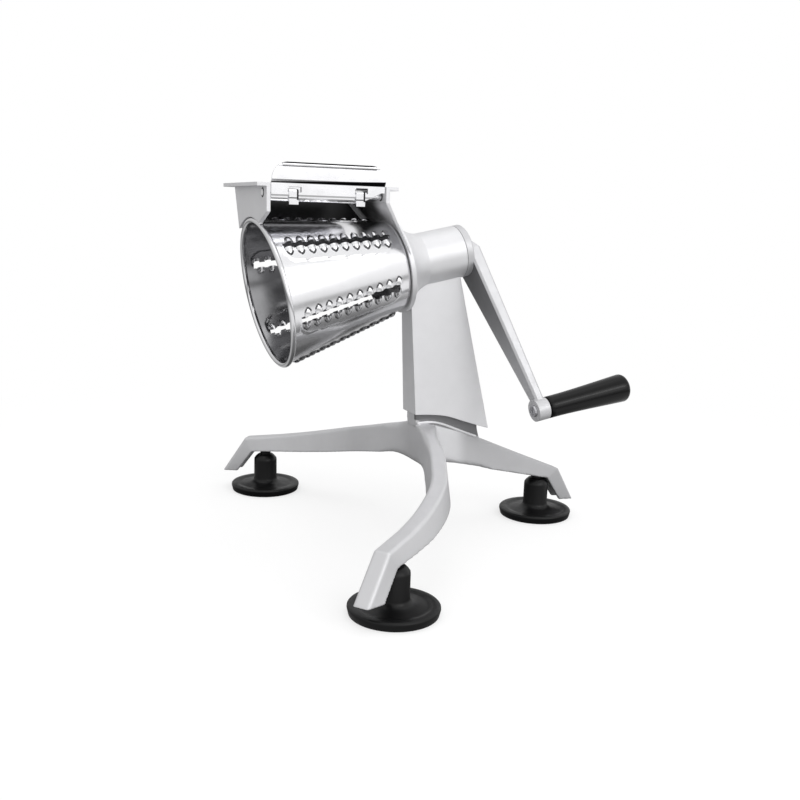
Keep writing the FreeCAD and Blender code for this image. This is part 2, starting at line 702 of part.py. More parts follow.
def leg_solids(stations, knee_top, knee_foot, tip_top, tip_foot):
    """Outer solid and hollow of one leg."""
    outer = []
    inner = []
    line = smooth(stations)
    count = len(line)
    for n in range(count):
        x, y, top, foot, half_top, half_outer, half_inner = line[n]
        ahead = line[min(n + 1, count - 1)] if n < count - 1 else knee_top
        behind = line[max(n - 1, 0)]
        way = vec(ahead[0] - behind[0], ahead[1] - behind[1], 0)
        way.normalize()
        across = vec(-way.y, way.x, 0)
        widths = (half_top, half_outer, half_inner)
        outer.append(leg_section(vec(x, y, top), vec(x, y, foot), across, *widths))
        if n > 2 * LEG_STEPS:
            inner.append(cavity_section(vec(x, y, top), vec(x, y, foot), across, *widths))
    last = line[-1]
    way = vec(knee_top[0] - last[0], knee_top[1] - last[1], 0)
    way.normalize()
    across = vec(-way.y, way.x, 0)
    top = vec(*knee_top)
    foot = vec(*knee_foot)
    widths = (KNEE_HALF_W_TOP, KNEE_HALF_W_FOOT, KNEE_HALF_W_FOOT)
    outer.append(leg_section(top, foot, across, *widths))
    inner.append(cavity_section(top, foot, across, *widths))
    end_top = vec(*tip_top)
    end_foot = vec(*tip_foot)
    widths = (TIP_HALF_W_TOP, TIP_HALF_W_FOOT, TIP_HALF_W_FOOT)
    outer.append(leg_section(end_top, end_foot, across, *widths))
    drop = end_top - top
    drop.normalize()
    inner.append(cavity_section(end_top + drop * 2, end_foot + drop * 2, across, *widths))
    return [loft(outer, True)], [loft(inner, True)]


def straight_stations():
    return [(x, 0.0, top, foot, a, b, b) for x, top, foot, a, b in STRAIGHT_LEG]


def foot_points():
    x, y = CURVED_FOOT
    return {"front": (x, -y), "back": (x, y), "crank": (STRAIGHT_FOOT_X, 0.0)}


def base_tripod():
    curved, curved_in = leg_solids(
        CURVED_LEG, CURVED_KNEE_TOP, CURVED_KNEE_FOOT, CURVED_TIP_TOP, CURVED_TIP_FOOT
    )
    kt = (STRAIGHT_KNEE_TOP[0], 0.0, STRAIGHT_KNEE_TOP[1])
    kf = (STRAIGHT_KNEE_FOOT[0], 0.0, STRAIGHT_KNEE_FOOT[1])
    tt = (STRAIGHT_TIP_TOP[0], 0.0, STRAIGHT_TIP_TOP[1])
    tf = (STRAIGHT_TIP_FOOT[0], 0.0, STRAIGHT_TIP_FOOT[1])
    straight, straight_in = leg_solids(straight_stations(), kt, kf, tt, tf)
    solids = curved + [mirrored(s) for s in curved] + straight
    hollows = curved_in + [mirrored(s) for s in curved_in] + straight_in
    shell = fuse(solids)
    shell = cut(shell, hollows)
    bosses = []
    for x, y in foot_points().values():
        boss = Part.makeCylinder(LEG_BOSS_R, 40, vec(x, y, CUP_STEM_TOP + 2.6), vec(0, 0, 1))
        bosses.append(boss)
    blank = fuse(solids)
    bosses = [single(b.common(blank)) for b in bosses]
    below = [(x, z - POST_BELOW_BEAD) for x, z in BEAD_LINE]
    below = [(below[0][0] - 20, below[0][1])] + below + [(below[-1][0] + 20, below[-1][1])]
    floor = [(below[-1][0], 40), (below[0][0], 40)]
    post = single(post_block(0.0).cut(prism_y(below + floor, -40, 40)))
    notch = Part.makeBox(
        POST_STEP_X + 30, 8, 200, vec(POST_STEP_X - 34.9, -POST_FOOT_HALF_D - 8 + POST_STEP_D, 60)
    )
    post = single(post.cut(notch))
    bead_path = [vec(x, -POST_FOOT_HALF_D + 0.3, z) for x, z in BEAD_LINE]
    beads = []
    for sign in (1, -1):
        points = [vec(p.x, p.y * sign, p.z) for p in bead_path]
        curve = Part.BSplineCurve()
        curve.interpolate(points)
        edge = curve.toShape()
        ring = Part.Wire(Part.makeCircle(BEAD_R, points[0], curve.tangent(curve.FirstParameter)[0]))
        pipe = Part.Wire([edge]).makePipeShell([ring], True, True)
        beads.append(pipe)
    body = fuse([shell, post] + bosses + beads)
    tools = [clamp_tool()]
    for x, y in foot_points().values():
        tools.append(Part.makeCylinder(STUD_R, STUD_HOLE_TOP_Z - 20, vec(x, y, 20), vec(0, 0, 1)))
    return cut(body, tools)


# ---------------------------------------------------------------- feet
def suction_cup(x, y):
    r = CUP_R
    points = [
        (STUD_R, STUD_FOOT_Z), (0.0, STUD_FOOT_Z),
        (0.0, 7.0), (10.0, 6.2), (19.0, 3.6), (26.0, 0.7), (27.5, 0.0),
        (r - CUP_EDGE_INSET - 0.6, 0.0), (r - CUP_EDGE_INSET, 0.6),
        (r, CUP_EDGE_H - 0.9), (r - 0.8, CUP_EDGE_H),
        (r - 4.6, CUP_EDGE_H + 0.3), (r - 6.0, CUP_EDGE_H - 0.8), (r - 10.0, CUP_EDGE_H - 0.6),
        (CUP_STEM_R + 3.4, CUP_EDGE_H + 0.5), (CUP_STEM_R + 0.8, CUP_EDGE_H + 2.0),
        (CUP_STEM_R, CUP_EDGE_H + 4.0),
        (CUP_STEM_R, CUP_STEM_TOP - CUP_STEM_CHAMFER), (CUP_STEM_R - CUP_STEM_CHAMFER, CUP_STEM_TOP),
        (STUD_R, CUP_STEM_TOP),
    ]
    face = polygon([vec(p, 0, z) for p, z in points])
    cup = face.revolve(vec(0, 0, 0), vec(0, 0, 1), 360)
    cup.translate(vec(x, y, 0))
    return single(cup)


def foot_stud(x, y):
    return Part.makeCylinder(STUD_R, STUD_TOP_Z - STUD_FOOT_Z, vec(x, y, STUD_FOOT_Z), vec(0, 0, 1))


# ---------------------------------------------------------------- crank
def crank_frame():
    """Unit vectors of the crank: along the arm, and across it towards the front."""
    a = math.radians(CRANK_ANGLE)
    along = UP * (-math.cos(a)) - SIDE * math.sin(a)
    across = SIDE * (-math.cos(a)) + UP * math.sin(a)
    return along, across


def grip_axis():
    along = crank_frame()[0]
    a = math.radians(GRIP_SPLAY)
    direction = AXIS * math.cos(a) + along * math.sin(a)
    point = ORIGIN + along * CRANK_RADIUS + AXIS * BOSS_OUTER_S
    return point, direction


def on_grip(shape):
    """Shape made along local +X from the outer face of the boss, moved onto the grip line."""
    point, direction = grip_axis()
    copy = shape.copy()
    copy.Placement = placed(point, direction).multiply(copy.Placement)
    return copy


def crank_arm():
    along, across = crank_frame()
    wires = []
    for r, inner, outer, width in ARM_STATIONS:
        base = ORIGIN + along * r
        h = width / 2
        e = ARM_EDGE
        wires.append(wire([
            base + AXIS * inner - across * (h - e), base + AXIS * inner + across * (h - e),
            base + AXIS * (inner + e) + across * h, base + AXIS * (outer - e) + across * h,
            base + AXIS * outer + across * (h - e), base + AXIS * outer - across * (h - e),
            base + AXIS * (outer - e) - across * h, base + AXIS * (inner + e) - across * h,
        ]))
    arm = loft(wires, True)
    s0 = BARREL_END_S + CRANK_GAP
    reach = 2 * BARREL_R
    hub = on_shaft(turned([
        (s0, 0), (s0, BARREL_R), (HUB_END_S - 1, BARREL_R), (HUB_END_S, BARREL_R - 1),
        (HUB_END_S, HUB_PAD_R), (CRANK_SEAT_S, HUB_PAD_R), (CRANK_SEAT_S, 0),
    ]))
    boss = on_grip(rod(BOSS_INNER_S - BOSS_OUTER_S, 0, BOSS_R))
    body = fuse([arm, hub, boss])
    tools = [
        on_shaft(rod(s0 - reach, s0, CRANK_RADIUS)),
        on_shaft(square_bar(s0 - 1, HUB_SOCKET_S1, DRIVE_SQUARE + 2 * DRIVE_CLEARANCE)),
        on_shaft(rod(s0, s0 + reach, CRANK_SCREW_R)),
        on_shaft(rod(CRANK_SEAT_S, CRANK_SEAT_S + reach, CRANK_SCREW_HEAD_R + CRANK_SEAT_FIT)),
        on_grip(rod(BOSS_INNER_S - BOSS_OUTER_S - 2, 2, SPINDLE_R)),
    ]
    return cut(body, tools)


def slot_tool(face, radius, width, depth):
    """Screwdriver slot across a head, from its face inwards."""
    return Part.makeBox(depth + 1, width, 2 * radius, vec(face - depth, -width / 2, -radius))


def crank_screw():
    face = CRANK_SEAT_S
    top = face + CRANK_SCREW_HEAD_T
    r = CRANK_SCREW_HEAD_R
    head = turned([
        (face, 0), (face, r), (top - CRANK_SCREW_BEVEL, r), (top, r - CRANK_SCREW_BEVEL), (top, 0),
    ])
    stem = rod(HUB_SOCKET_S1 - CRANK_SCREW_REACH, face, CRANK_SCREW_R)
    return cut(fuse([head, stem]), [slot_tool(top, r, 1.2, 1.2)])


def grip_spindle():
    inner = BOSS_INNER_S - BOSS_OUTER_S
    stem = rod(inner, SPINDLE_END, SPINDLE_R)
    head = turned([
        (inner - SPINDLE_HEAD_T, 0), (inner - SPINDLE_HEAD_T, SPINDLE_HEAD_R - 0.6),
        (inner - 0.5, SPINDLE_HEAD_R), (inner, SPINDLE_HEAD_R), (inner, 0),
    ])
    slot = Part.makeBox(
        1.0, 1.1, 2 * SPINDLE_HEAD_R, vec(inner - SPINDLE_HEAD_T - 0.2, -0.55, -SPINDLE_HEAD_R)
    )
    return cut(fuse([stem, head]), [slot])


def grip_washer():
    return turned([
        (0, SPINDLE_R), (0, GRIP_WASHER_R), (GRIP_WASHER_T, GRIP_WASHER_R), (GRIP_WASHER_T, SPINDLE_R),
    ])


def spindle_nut():
    s0 = SPINDLE_END - SPINDLE_NUT_T
    return turned([
        (s0, SPINDLE_R), (s0, SPINDLE_NUT_R), (SPINDLE_END, SPINDLE_NUT_R), (SPINDLE_END, SPINDLE_R),
    ])


def handle_grip():
    start = GRIP_WASHER_T + GRIP_END_PLAY
    skin = smooth([(start + s, r) for s, r in GRIP_PROFILE])
    end = start + GRIP_LEN
    shoulder_s, shoulder_r = skin[-1]
    cap = []
    for n in range(1, GRIP_CAP_STEPS):
        a = math.radians(90.0 * n / GRIP_CAP_STEPS)
        cap.append((shoulder_s + (end - shoulder_s) * math.sin(a), shoulder_r * math.cos(a) ** 0.8))
    bore = SPINDLE_R + RUNNING_FIT
    pocket = SPINDLE_NUT_R + 0.4
    s_nut = SPINDLE_END - SPINDLE_NUT_T - 0.4
    s_end = SPINDLE_END + 0.6
    inside = [(end, 0), (s_end, 0), (s_end, pocket), (s_nut, pocket), (s_nut, bore), (start, bore)]
    return single(turned(skin + cap + inside))


# ---------------------------------------------------------------- guard, rod and hooks
GUARD_X0 = HOPPER_LEFT_X + HOPPER_WALL + GUARD_SIDE_GAP
GUARD_X1 = HOPPER_RIGHT_X - HOPPER_WALL - GUARD_SIDE_GAP


def guard_line():
    """Outer face of the bent sheet, (y, z), from the top edge down and under to the back."""
    y = GUARD_FRONT_Y
    yp = y + GUARD_STEP
    line = [(y, GUARD_TOP_Z - 1.0), (y, GUARD_STEP_Z + 1.2), (yp, GUARD_STEP_Z - 1.2)]
    cz = GUARD_FOOT_Z + GUARD_BEND_R
    cy = yp + GUARD_BEND_R
    for n in range(7):
        a = math.radians(180 + 15 * n)
        line.append((cy + GUARD_BEND_R * math.cos(a), cz + GUARD_BEND_R * math.sin(a)))
    line.append((GUARD_BACK_Y, GUARD_FOOT_Z + 1.2))
    return line


def sheet(line, thickness, x0, x1):
    """Constant thickness sheet on the inner side of a line."""
    inner = []
    count = len(line)
    for n in range(count):
        a = line[max(n - 1, 0)]
        b = line[min(n + 1, count - 1)]
        dy = b[0] - a[0]
        dz = b[1] - a[1]
        size = math.hypot(dy, dz)
        inner.append((line[n][0] - dz / size * thickness, line[n][1] + dy / size * thickness))
    return prism_x(line + inner[::-1], x0, x1)


def food_guard():
    body = sheet(guard_line(), GUARD_T, GUARD_X0, GUARD_X1)
    width = GUARD_X1 - GUARD_X0
    r = GUARD_CORNER_R
    hem = Part.makeCylinder(
        GUARD_HEM_R, width - 2 * r * 0.62,
        vec(GUARD_X0 + r * 0.62, GUARD_FRONT_Y + 0.5, GUARD_TOP_Z - GUARD_HEM_R + 0.6), vec(1, 0, 0))
    body = fuse([body, hem])
    tools = []
    for x, turn in ((GUARD_X0, 1), (GUARD_X1, -1)):
        corner_x = x if turn > 0 else x - r
        corner = Part.makeBox(r, 20, r, vec(corner_x, GUARD_FRONT_Y - 8, GUARD_TOP_Z + 0.65 - r))
        centre = vec(x + turn * r, GUARD_FRONT_Y - 9, GUARD_TOP_Z + 0.65 - r)
        disc = Part.makeCylinder(r, 22, centre, vec(0, 1, 0))
        tools.append(corner.cut(disc))
    clip = prism_y([
        (GUARD_X1 + 1, GUARD_FOOT_Z + 8.2), (GUARD_X1 - 3, GUARD_FOOT_Z + 8.2),
        (GUARD_X1 - GUARD_CLIP_W, GUARD_FOOT_Z + 2.2), (GUARD_X1 - GUARD_CLIP_W, GUARD_FOOT_Z - 3),
        (GUARD_X1 + 1, GUARD_FOOT_Z - 3)], GUARD_FRONT_Y - 5, GUARD_BACK_Y + 5)
    tools.append(clip)
    gap = HOOK_SLOT_GAP
    for x in HOOK_CENTRES_X:
        tools.append(Part.makeBox(
            HOOK_W + 2 * gap + HOOK_SLOT_EXTRA, 6, HOOK_SLOT_H,
            vec(x - HOOK_W / 2 - gap, GUARD_FRONT_Y - 2, HOOK_STRAP_Z - HOOK_SLOT_H / 2 + 0.5)))
    return cut(body, tools)


def guard_hook(x):
    """Strap round the rod, out through the slot and down the front of the strip."""
    x0 = x - HOOK_W / 2
    bore = ROD_R + ROD_FIT
    eye = Part.makeCylinder(bore + HOOK_T, HOOK_W, vec(x0, ROD_Y, ROD_Z), vec(1, 0, 0))
    front = GUARD_FRONT_Y + GUARD_STEP
    t = HOOK_T
    z = HOOK_STRAP_Z
    strap = prism_x([
        (ROD_Y, ROD_Z + bore + t), (ROD_Y, ROD_Z + bore), (front, z - t / 2), (front - 0.05, z - t / 2 - 0.3),
        (front - 0.05, HOOK_FOOT_Z), (front - 0.05 - t, HOOK_FOOT_Z), (front - 0.05 - t, z - t / 2),
        (front - 0.5, z + t / 2),
    ], x0, x0 + HOOK_W)
    hole = Part.makeCylinder(bore, HOOK_W + 2, vec(x0 - 1, ROD_Y, ROD_Z), vec(1, 0, 0))
    return cut(fuse([eye, strap]), [hole])


def hinge_rod():
    x0 = HOPPER_LEFT_X - 0.4
    x1 = HOPPER_RIGHT_X + 0.4
    return Part.makeCylinder(ROD_R, x1 - x0, vec(x0, ROD_Y, ROD_Z), vec(1, 0, 0))


def rod_grommet(x):
    ring = Part.makeCylinder(GROMMET_R, HOPPER_WALL, vec(x, ROD_Y, ROD_Z), vec(1, 0, 0))
    hole = Part.makeCylinder(ROD_R, HOPPER_WALL + 2, vec(x - 1, ROD_Y, ROD_Z), vec(1, 0, 0))
    return cut(ring, [hole])


# ---------------------------------------------------------------- assembly
def assembly():
    nodes = {}
    nodes["base_tripod"] = base_tripod()
    nodes["body_casting"] = body_casting()
    nodes["clamp_screw"] = clamp_screw()
    for name, point in foot_points().items():
        nodes["foot_stud_" + name] = foot_stud(*point)
        nodes["suction_cup_" + name] = suction_cup(*point)
    nodes["front_bush"] = on_shaft(front_bush())
    nodes["rear_bush"] = on_shaft(rear_bush())
    nodes["thrust_washer"] = on_shaft(thrust_washer())
    nodes["drive_shaft"] = on_shaft(drive_shaft())
    nodes["drum_cone"] = on_shaft(drum_cone())
    nodes["drum_base"] = on_shaft(drum_base())
    nodes["drum_socket"] = on_shaft(drum_socket())
    nodes["drum_screw"] = on_shaft(drum_screw())
    nodes["crank_arm"] = crank_arm()
    nodes["crank_screw"] = on_shaft(crank_screw())
    nodes["grip_spindle"] = on_grip(grip_spindle())
    nodes["grip_washer"] = on_grip(grip_washer())
    nodes["spindle_nut"] = on_grip(spindle_nut())
    nodes["handle_grip"] = on_grip(handle_grip())
    nodes["hinge_rod"] = hinge_rod()
    nodes["rod_grommet_mouth"] = rod_grommet(HOPPER_LEFT_X)
    nodes["rod_grommet_crank"] = rod_grommet(HOPPER_RIGHT_X - HOPPER_WALL)
    nodes["food_guard"] = food_guard()
    nodes["guard_hook_mouth"] = guard_hook(HOOK_CENTRES_X[0])
    nodes["guard_hook_crank"] = guard_hook(HOOK_CENTRES_X[1])
    return nodes


def centred(nodes):
    """Origin at the middle of the overall box in plan, floor at z = 0."""
    box = FreeCAD.BoundBox()
    for shape in nodes.values():
        box.add(shape.optimalBoundingBox(False))
    shift = vec(-(box.XMin + box.XMax) / 2, -(box.YMin + box.YMax) / 2, -box.ZMin)
    for shape in nodes.values():
        shape.translate(shift)
    return shift


os.makedirs("parts", exist_ok=True)
pieces = assembly()
offset = centred(pieces)
print("shift", round(offset.x, 3), round(offset.y, 3), round(offset.z, 3))
for node, shape in pieces.items():
    shape.exportStep("parts/" + node + ".step")
    b = shape.BoundBox
    state = "valid" if shape.isValid() else "INVALID"
    print(node, shape.ShapeType, state, round(shape.Volume / 1000.0, 2), "cm3",
          [round(v, 1) for v in (b.XMin, b.XMax, b.YMin, b.YMax, b.ZMin, b.ZMax)])
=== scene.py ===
import json
import math

import bpy
from mathutils import Matrix, Vector

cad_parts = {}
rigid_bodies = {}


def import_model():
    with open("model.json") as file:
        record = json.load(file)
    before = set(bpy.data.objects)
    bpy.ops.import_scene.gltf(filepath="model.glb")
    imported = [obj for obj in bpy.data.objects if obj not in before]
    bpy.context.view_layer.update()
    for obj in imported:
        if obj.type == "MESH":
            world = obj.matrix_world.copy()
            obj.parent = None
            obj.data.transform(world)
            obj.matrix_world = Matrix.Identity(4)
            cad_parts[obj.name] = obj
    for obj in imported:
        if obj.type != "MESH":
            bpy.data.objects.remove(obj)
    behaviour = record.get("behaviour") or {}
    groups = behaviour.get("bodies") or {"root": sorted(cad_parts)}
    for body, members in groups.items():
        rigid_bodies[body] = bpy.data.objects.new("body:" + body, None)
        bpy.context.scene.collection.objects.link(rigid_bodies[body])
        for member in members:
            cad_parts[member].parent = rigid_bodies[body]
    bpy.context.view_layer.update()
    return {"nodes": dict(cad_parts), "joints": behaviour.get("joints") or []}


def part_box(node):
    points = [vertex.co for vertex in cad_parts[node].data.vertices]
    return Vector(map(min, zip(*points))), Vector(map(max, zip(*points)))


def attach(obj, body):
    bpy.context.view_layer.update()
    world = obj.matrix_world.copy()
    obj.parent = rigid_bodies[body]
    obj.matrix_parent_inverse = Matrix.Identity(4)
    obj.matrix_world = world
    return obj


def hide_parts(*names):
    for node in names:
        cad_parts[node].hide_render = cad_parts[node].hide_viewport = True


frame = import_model()

MM = 0.001
MERGE = 0.01                        # millimetres: points closer than this are one
EDGE_SAMPLES = 6

# ---- joint lines, from the frame ----
JOINTS = {joint["name"]: joint for joint in frame["joints"]}
SHAFT_POINT = Vector(JOINTS["crank_spin"]["pos_m"])
SHAFT_AXIS = Vector(JOINTS["crank_spin"]["axis"]).normalized()
GRIP_POINT = Vector(JOINTS["grip_spin"]["pos_m"])
GRIP_AXIS = Vector(JOINTS["grip_spin"]["axis"]).normalized()
SHIFT = SHAFT_POINT.x / MM          # places below are measured in x from the shaft's middle


# ---------------------------------------------------------------- modelling by hand, in code
def colour(code):
    """Linear colour of an sRGB hex value."""
    out = []
    for n in (0, 2, 4):
        c = int(code[n:n + 2], 16) / 255.0
        out.append(c / 12.92 if c <= 0.04045 else ((c + 0.055) / 1.055) ** 2.4)
    return (*out, 1.0)


def add(tree, kind, settings=None, links=None):
    """A node with its settings, and links into its sockets."""
    made = tree.nodes.new(kind)
    for key, value in (settings or {}).items():
        if isinstance(key, str) and hasattr(made, key):
            setattr(made, key, value)
        else:
            made.inputs[key].default_value = value
    for key, source in (links or {}).items():
        tree.links.new(source, made.inputs[key])
    return made


def clear_selection():
    for obj in bpy.context.view_layer.objects:
        obj.select_set(False)


def activate(obj):
    clear_selection()
    obj.select_set(True)
    bpy.context.view_layer.objects.active = obj


def edit(obj, mode="VERT", action="SELECT"):
    """Open edit mode with all or nothing selected."""
    activate(obj)
    bpy.ops.object.mode_set(mode="EDIT")
    bpy.ops.mesh.select_mode(type=mode)
    bpy.ops.mesh.select_all(action=action)


def done():
    bpy.ops.object.mode_set(mode="OBJECT")


def choose(obj, test, mode="VERT"):
    """Select vertices, edges or faces by place, then open edit mode."""
    edit(obj, mode, "DESELECT")
    done()
    mesh = obj.data
    if mode == "VERT":
        for vertex in mesh.vertices:
            vertex.select = bool(test(vertex.co))
    elif mode == "EDGE":
        for edge in mesh.edges:
            edge.select = bool(test(*(mesh.vertices[i].co for i in edge.vertices)))
    else:
        for face in mesh.polygons:
            face.select = bool(test(face.center))
    bpy.ops.object.mode_set(mode="EDIT")


def modify(obj, kind, **settings):
    """Add a modifier and apply it."""
    activate(obj)
    modifier = obj.modifiers.new(kind, kind)
    for key, value in settings.items():
        setattr(modifier, key, value)
    bpy.ops.object.modifier_apply(modifier=modifier.name)


def along(point, axis):
    """Matrix taking local +X to an axis, with local Z kept as upright as it can be."""
    x = axis.normalized()
    y = Vector((0, 0, 1)).cross(x).normalized()
    turn = Matrix((x, y, x.cross(y))).transposed().to_4x4()
    return Matrix.Translation(point) @ turn


def place(obj, matrix):
    """Move the mesh, so that the object stays at the origin."""
    obj.data.transform(matrix)
    obj.data.update()


def twin(obj):
    """A copy of an object with its own mesh."""
    copy = obj.copy()
    copy.data = obj.data.copy()
    bpy.context.scene.collection.objects.link(copy)
    return copy


def outward(obj):
    """Doubles merged, then all faces turned outwards."""
    edit(obj)
    bpy.ops.mesh.remove_doubles(threshold=MERGE * MM)
    bpy.ops.mesh.normals_make_consistent(inside=False)
    done()


def smooth(obj, angle):
    activate(obj)
    bpy.ops.object.shade_smooth_by_angle(angle=math.radians(angle))


def dress(obj, name, material, body, slot, *nodes):
    """Name a finished piece, give it its material (None keeps its own) and its body, and hide the nodes that
    it stands in for.
    """
    obj.name = name
    obj.data.name = name
    if material is not None:
        obj.data.materials.clear()
        obj.data.materials.append(material)
    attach(obj, body)
    if nodes:
        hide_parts(*nodes)


def spun(profile, steps):
    """Solid of revolution about local X from (x, r) points in millimetres, first and last on the axis."""
    bpy.ops.mesh.primitive_plane_add(size=1)
    obj = bpy.context.object
    edit(obj)
    bpy.ops.mesh.delete(type="VERT")
    done()
    mesh = obj.data
    mesh.vertices.add(len(profile))
    mesh.edges.add(len(profile) - 1)
    for vertex, (x, r) in zip(mesh.vertices, profile):
        vertex.co = (x * MM, 0.0, r * MM)
    for n, side in enumerate(mesh.edges):
        side.vertices = (n, n + 1)
    mesh.update()
    edit(obj)
    bpy.ops.mesh.spin(steps=steps, angle=math.tau, center=(0, 0, 0), axis=(1, 0, 0))
    done()
    outward(obj)
    return obj


# ---------------------------------------------------------------- building blocks of the materials
def new_material(name):
    material = bpy.data.materials.new(name)
    material.use_nodes = True
    tree = material.node_tree
    tree.nodes.clear()
    skin = add(tree, "ShaderNodeBsdfPrincipled")
    add(tree, "ShaderNodeOutputMaterial", None, {"Surface": skin.outputs["BSDF"]})
    spot = add(tree, "ShaderNodeTexCoord")
    return material, tree, skin, spot.outputs["Object"]


def wandering_tone(tree, where, low, high, size_mm):
    """Colour that wanders between two tones over a real size."""
    cloud = add(tree, "ShaderNodeTexNoise", {"Scale": 1.0 / (size_mm * MM), "Detail": 3.0},
                {"Vector": where})
    tone = add(tree, "ShaderNodeMix", {"data_type": "RGBA", 6: colour(low), 7: colour(high)},
               {0: cloud.outputs["Fac"]})
    return tone.outputs[2]


def wandering_gloss(tree, skin, where, low, high, size_mm):
    """Roughness that wanders between two values over a real size."""
    cloud = add(tree, "ShaderNodeTexNoise", {"Scale": 1.0 / (size_mm * MM), "Detail": 4.0},
                {"Vector": where})
    spread = add(tree, "ShaderNodeMapRange",
                 {"From Min": 0.3, "From Max": 0.7, "To Min": low, "To Max": high},
                 {"Value": cloud.outputs["Fac"]})
    tree.links.new(spread.outputs[0], skin.inputs["Roughness"])


def fine_relief(tree, skin, where, size_mm, detail, strength, depth_mm, edge_mm=0.0):
    """Grain of the surface; with an edge radius, the corners are eased as tumbling leaves them."""
    grain = add(tree, "ShaderNodeTexNoise", {"Scale": 1.0 / (size_mm * MM), "Detail": detail},
                {"Vector": where})
    bump = add(tree, "ShaderNodeBump", {"Strength": strength, "Distance": depth_mm * MM},
               {"Height": grain.outputs["Fac"]})
    if edge_mm:
        eased = add(tree, "ShaderNodeBevel", {"samples": EDGE_SAMPLES, "Radius": edge_mm * MM})
        tree.links.new(eased.outputs[0], bump.inputs["Normal"])
    tree.links.new(bump.outputs[0], skin.inputs["Normal"])


def merged(tree, how, *masks):
    """Several masks as one: MULTIPLY keeps where all of them lie, MAXIMUM where any lies."""
    whole = masks[0]
    for mask in masks[1:]:
        whole = add(tree, "ShaderNodeMath", {"operation": how}, {0: whole, 1: mask}).outputs[0]
    return whole


def box_mask(tree, where, spans, soft_mm):
    """1 inside a box of millimetre spans (x from the shaft's middle), fading to 0 over its soft edge."""
    axes = add(tree, "ShaderNodeSeparateXYZ", None, {0: where})
    sides = []
    for axis, (low, high) in enumerate(spans):
        start = SHIFT if axis == 0 else 0.0
        for edge, sign in ((low, 1.0), (high, -1.0)):
            if edge is not None:
                side = add(tree, "ShaderNodeMapRange", {
                    "interpolation_type": "SMOOTHSTEP",
                    "From Min": (start + edge - sign * soft_mm) * MM,
                    "From Max": (start + edge + sign * soft_mm) * MM,
                }, {"Value": axes.outputs[axis]})
                sides.append(side.outputs[0])
    return merged(tree, "MULTIPLY", *sides)


def along_line(tree, vector, direction, start, stop):
    """0 to 1 between two distances along a direction; on a normal, 1 where the surface faces that way."""
    run = add(tree, "ShaderNodeVectorMath", {"operation": "DOT_PRODUCT", 1: direction}, {0: vector})
    share = add(tree, "ShaderNodeMapRange",
                {"interpolation_type": "SMOOTHSTEP", "From Min": start, "From Max": stop},
                {"Value": run.outputs["Value"]})
    return share.outputs[0]


# ---------------------------------------------------------------- where castings and sheets are painted darker: painted shade and painted dark reflections
# Places in millimetres: x from the middle of the shaft, y and z as in the frame.
LINE_SOFT = 0.25
# width of the soft edge of each kind of painted shade and painted reflection
LINE_END_SOFT = 0.4
PAINTED_SHADE_SOFT = 0.3
BACK_SOFT = 3.0
END_SOFT = 4.0
FOOT_SOFT = 0.6
LEG_SOFT = 8.0
# tone of the painted dark reflections and painted shade on the guard and the hooks
PAINTED_DARK_TONE = "161618"
GUARD_FRONT_Y = -36.0
# x, top and foot of each painted dark reflection line on the guard, at its two ends
BEND_LINE = ((-137.7, 295.8, 295.0), (-46.9, 298.4, 294.9))
HEM_LINE = ((-133.9, 307.35, 307.05), (-52.3, 307.75, 307.3))
HEM_TOP = ((-133.9, 311.0, 309.0), (-52.3, 311.0, 308.9))
# places of the painted shade in the hook slots
HOOK_SLOTS = (((-124.0, -114.4), (288.6, 292.4)), ((-71.0, -61.4), (289.2, 293.2)))
HOOK_MIDDLES = (-120.6, -67.6)
HOOK_FRONT_Y = -40.0
HOOK_SIDE = (2.3, 4.0)             # from the hook's middle
HOOK_SIDE_Z = (283.0, 293.0)
HOOK_BEND_Z = (284.0, 284.8)

HOPPER_BACK = ((-139.6, -20.0), (30.0, 46.2), (262.0, 286.0))
HOPPER_END = ((-60.0, -15.0), (-41.0, 26.0), (258.0, 294.0))
# the shade on the end wall stops at a slanting line: direction, and distance along it
END_SLANT = Vector((0.0, 0.456, 1.0))
END_SLANT_SPAN = (266.0, 277.0)
FACING_SPAN = (0.25, 0.45)

CRANK_SHADE = 0.80
CRANK_FACING_SPAN = (0.86, 0.96)
CRANK_SHADE_DROP = (125.0, 22.0)   # below the shaft: where the shade starts, and where it is full

POST_FOOT = ((-4.0, 70.0), (-11.0, -6.0), (80.0, 112.0))
BEAD_SLOPE = 0.30                  # the shade ends on a line that falls with the bead
BEAD_SPAN = (101.0, 102.4)
BACK_LEGS = (((46.0, None), (-16.0, None), (None, 96.0)), ((None, -10.0), (-16.0, None), (None, 96.0)))
BASE_SHADES = (0.88, 0.36, 0.12)   # foot of the post, crank leg, back leg


def painted_reflection_line(tree, where, ends):
    """A painted dark reflection line across the front of the guard, from one height and width to another."""
    (x0, top0, foot0), (x1, top1, foot1) = ends
    axes = add(tree, "ShaderNodeSeparateXYZ", None, {0: where})
    masks = [box_mask(tree, where, ((x0, x1), (None, GUARD_FRONT_Y), (None, None)), LINE_END_SOFT)]
    for first, last, sign in ((top0, top1, -1.0), (foot0, foot1, 1.0)):
        height = add(tree, "ShaderNodeMapRange", {
            "clamp": False, "From Min": (x0 + SHIFT) * MM, "From Max": (x1 + SHIFT) * MM,
            "To Min": first * MM, "To Max": last * MM,
        }, {"Value": axes.outputs[0]})
        over = add(tree, "ShaderNodeMath", {"operation": "SUBTRACT"},
                   {0: axes.outputs[2], 1: height.outputs[0]})
        side = add(tree, "ShaderNodeMapRange", {
            "interpolation_type": "SMOOTHSTEP",
            "From Min": -sign * LINE_SOFT * MM, "From Max": sign * LINE_SOFT * MM,
        }, {"Value": over.outputs[0]})
        masks.append(side.outputs[0])
    return merged(tree, "MULTIPLY", *masks)


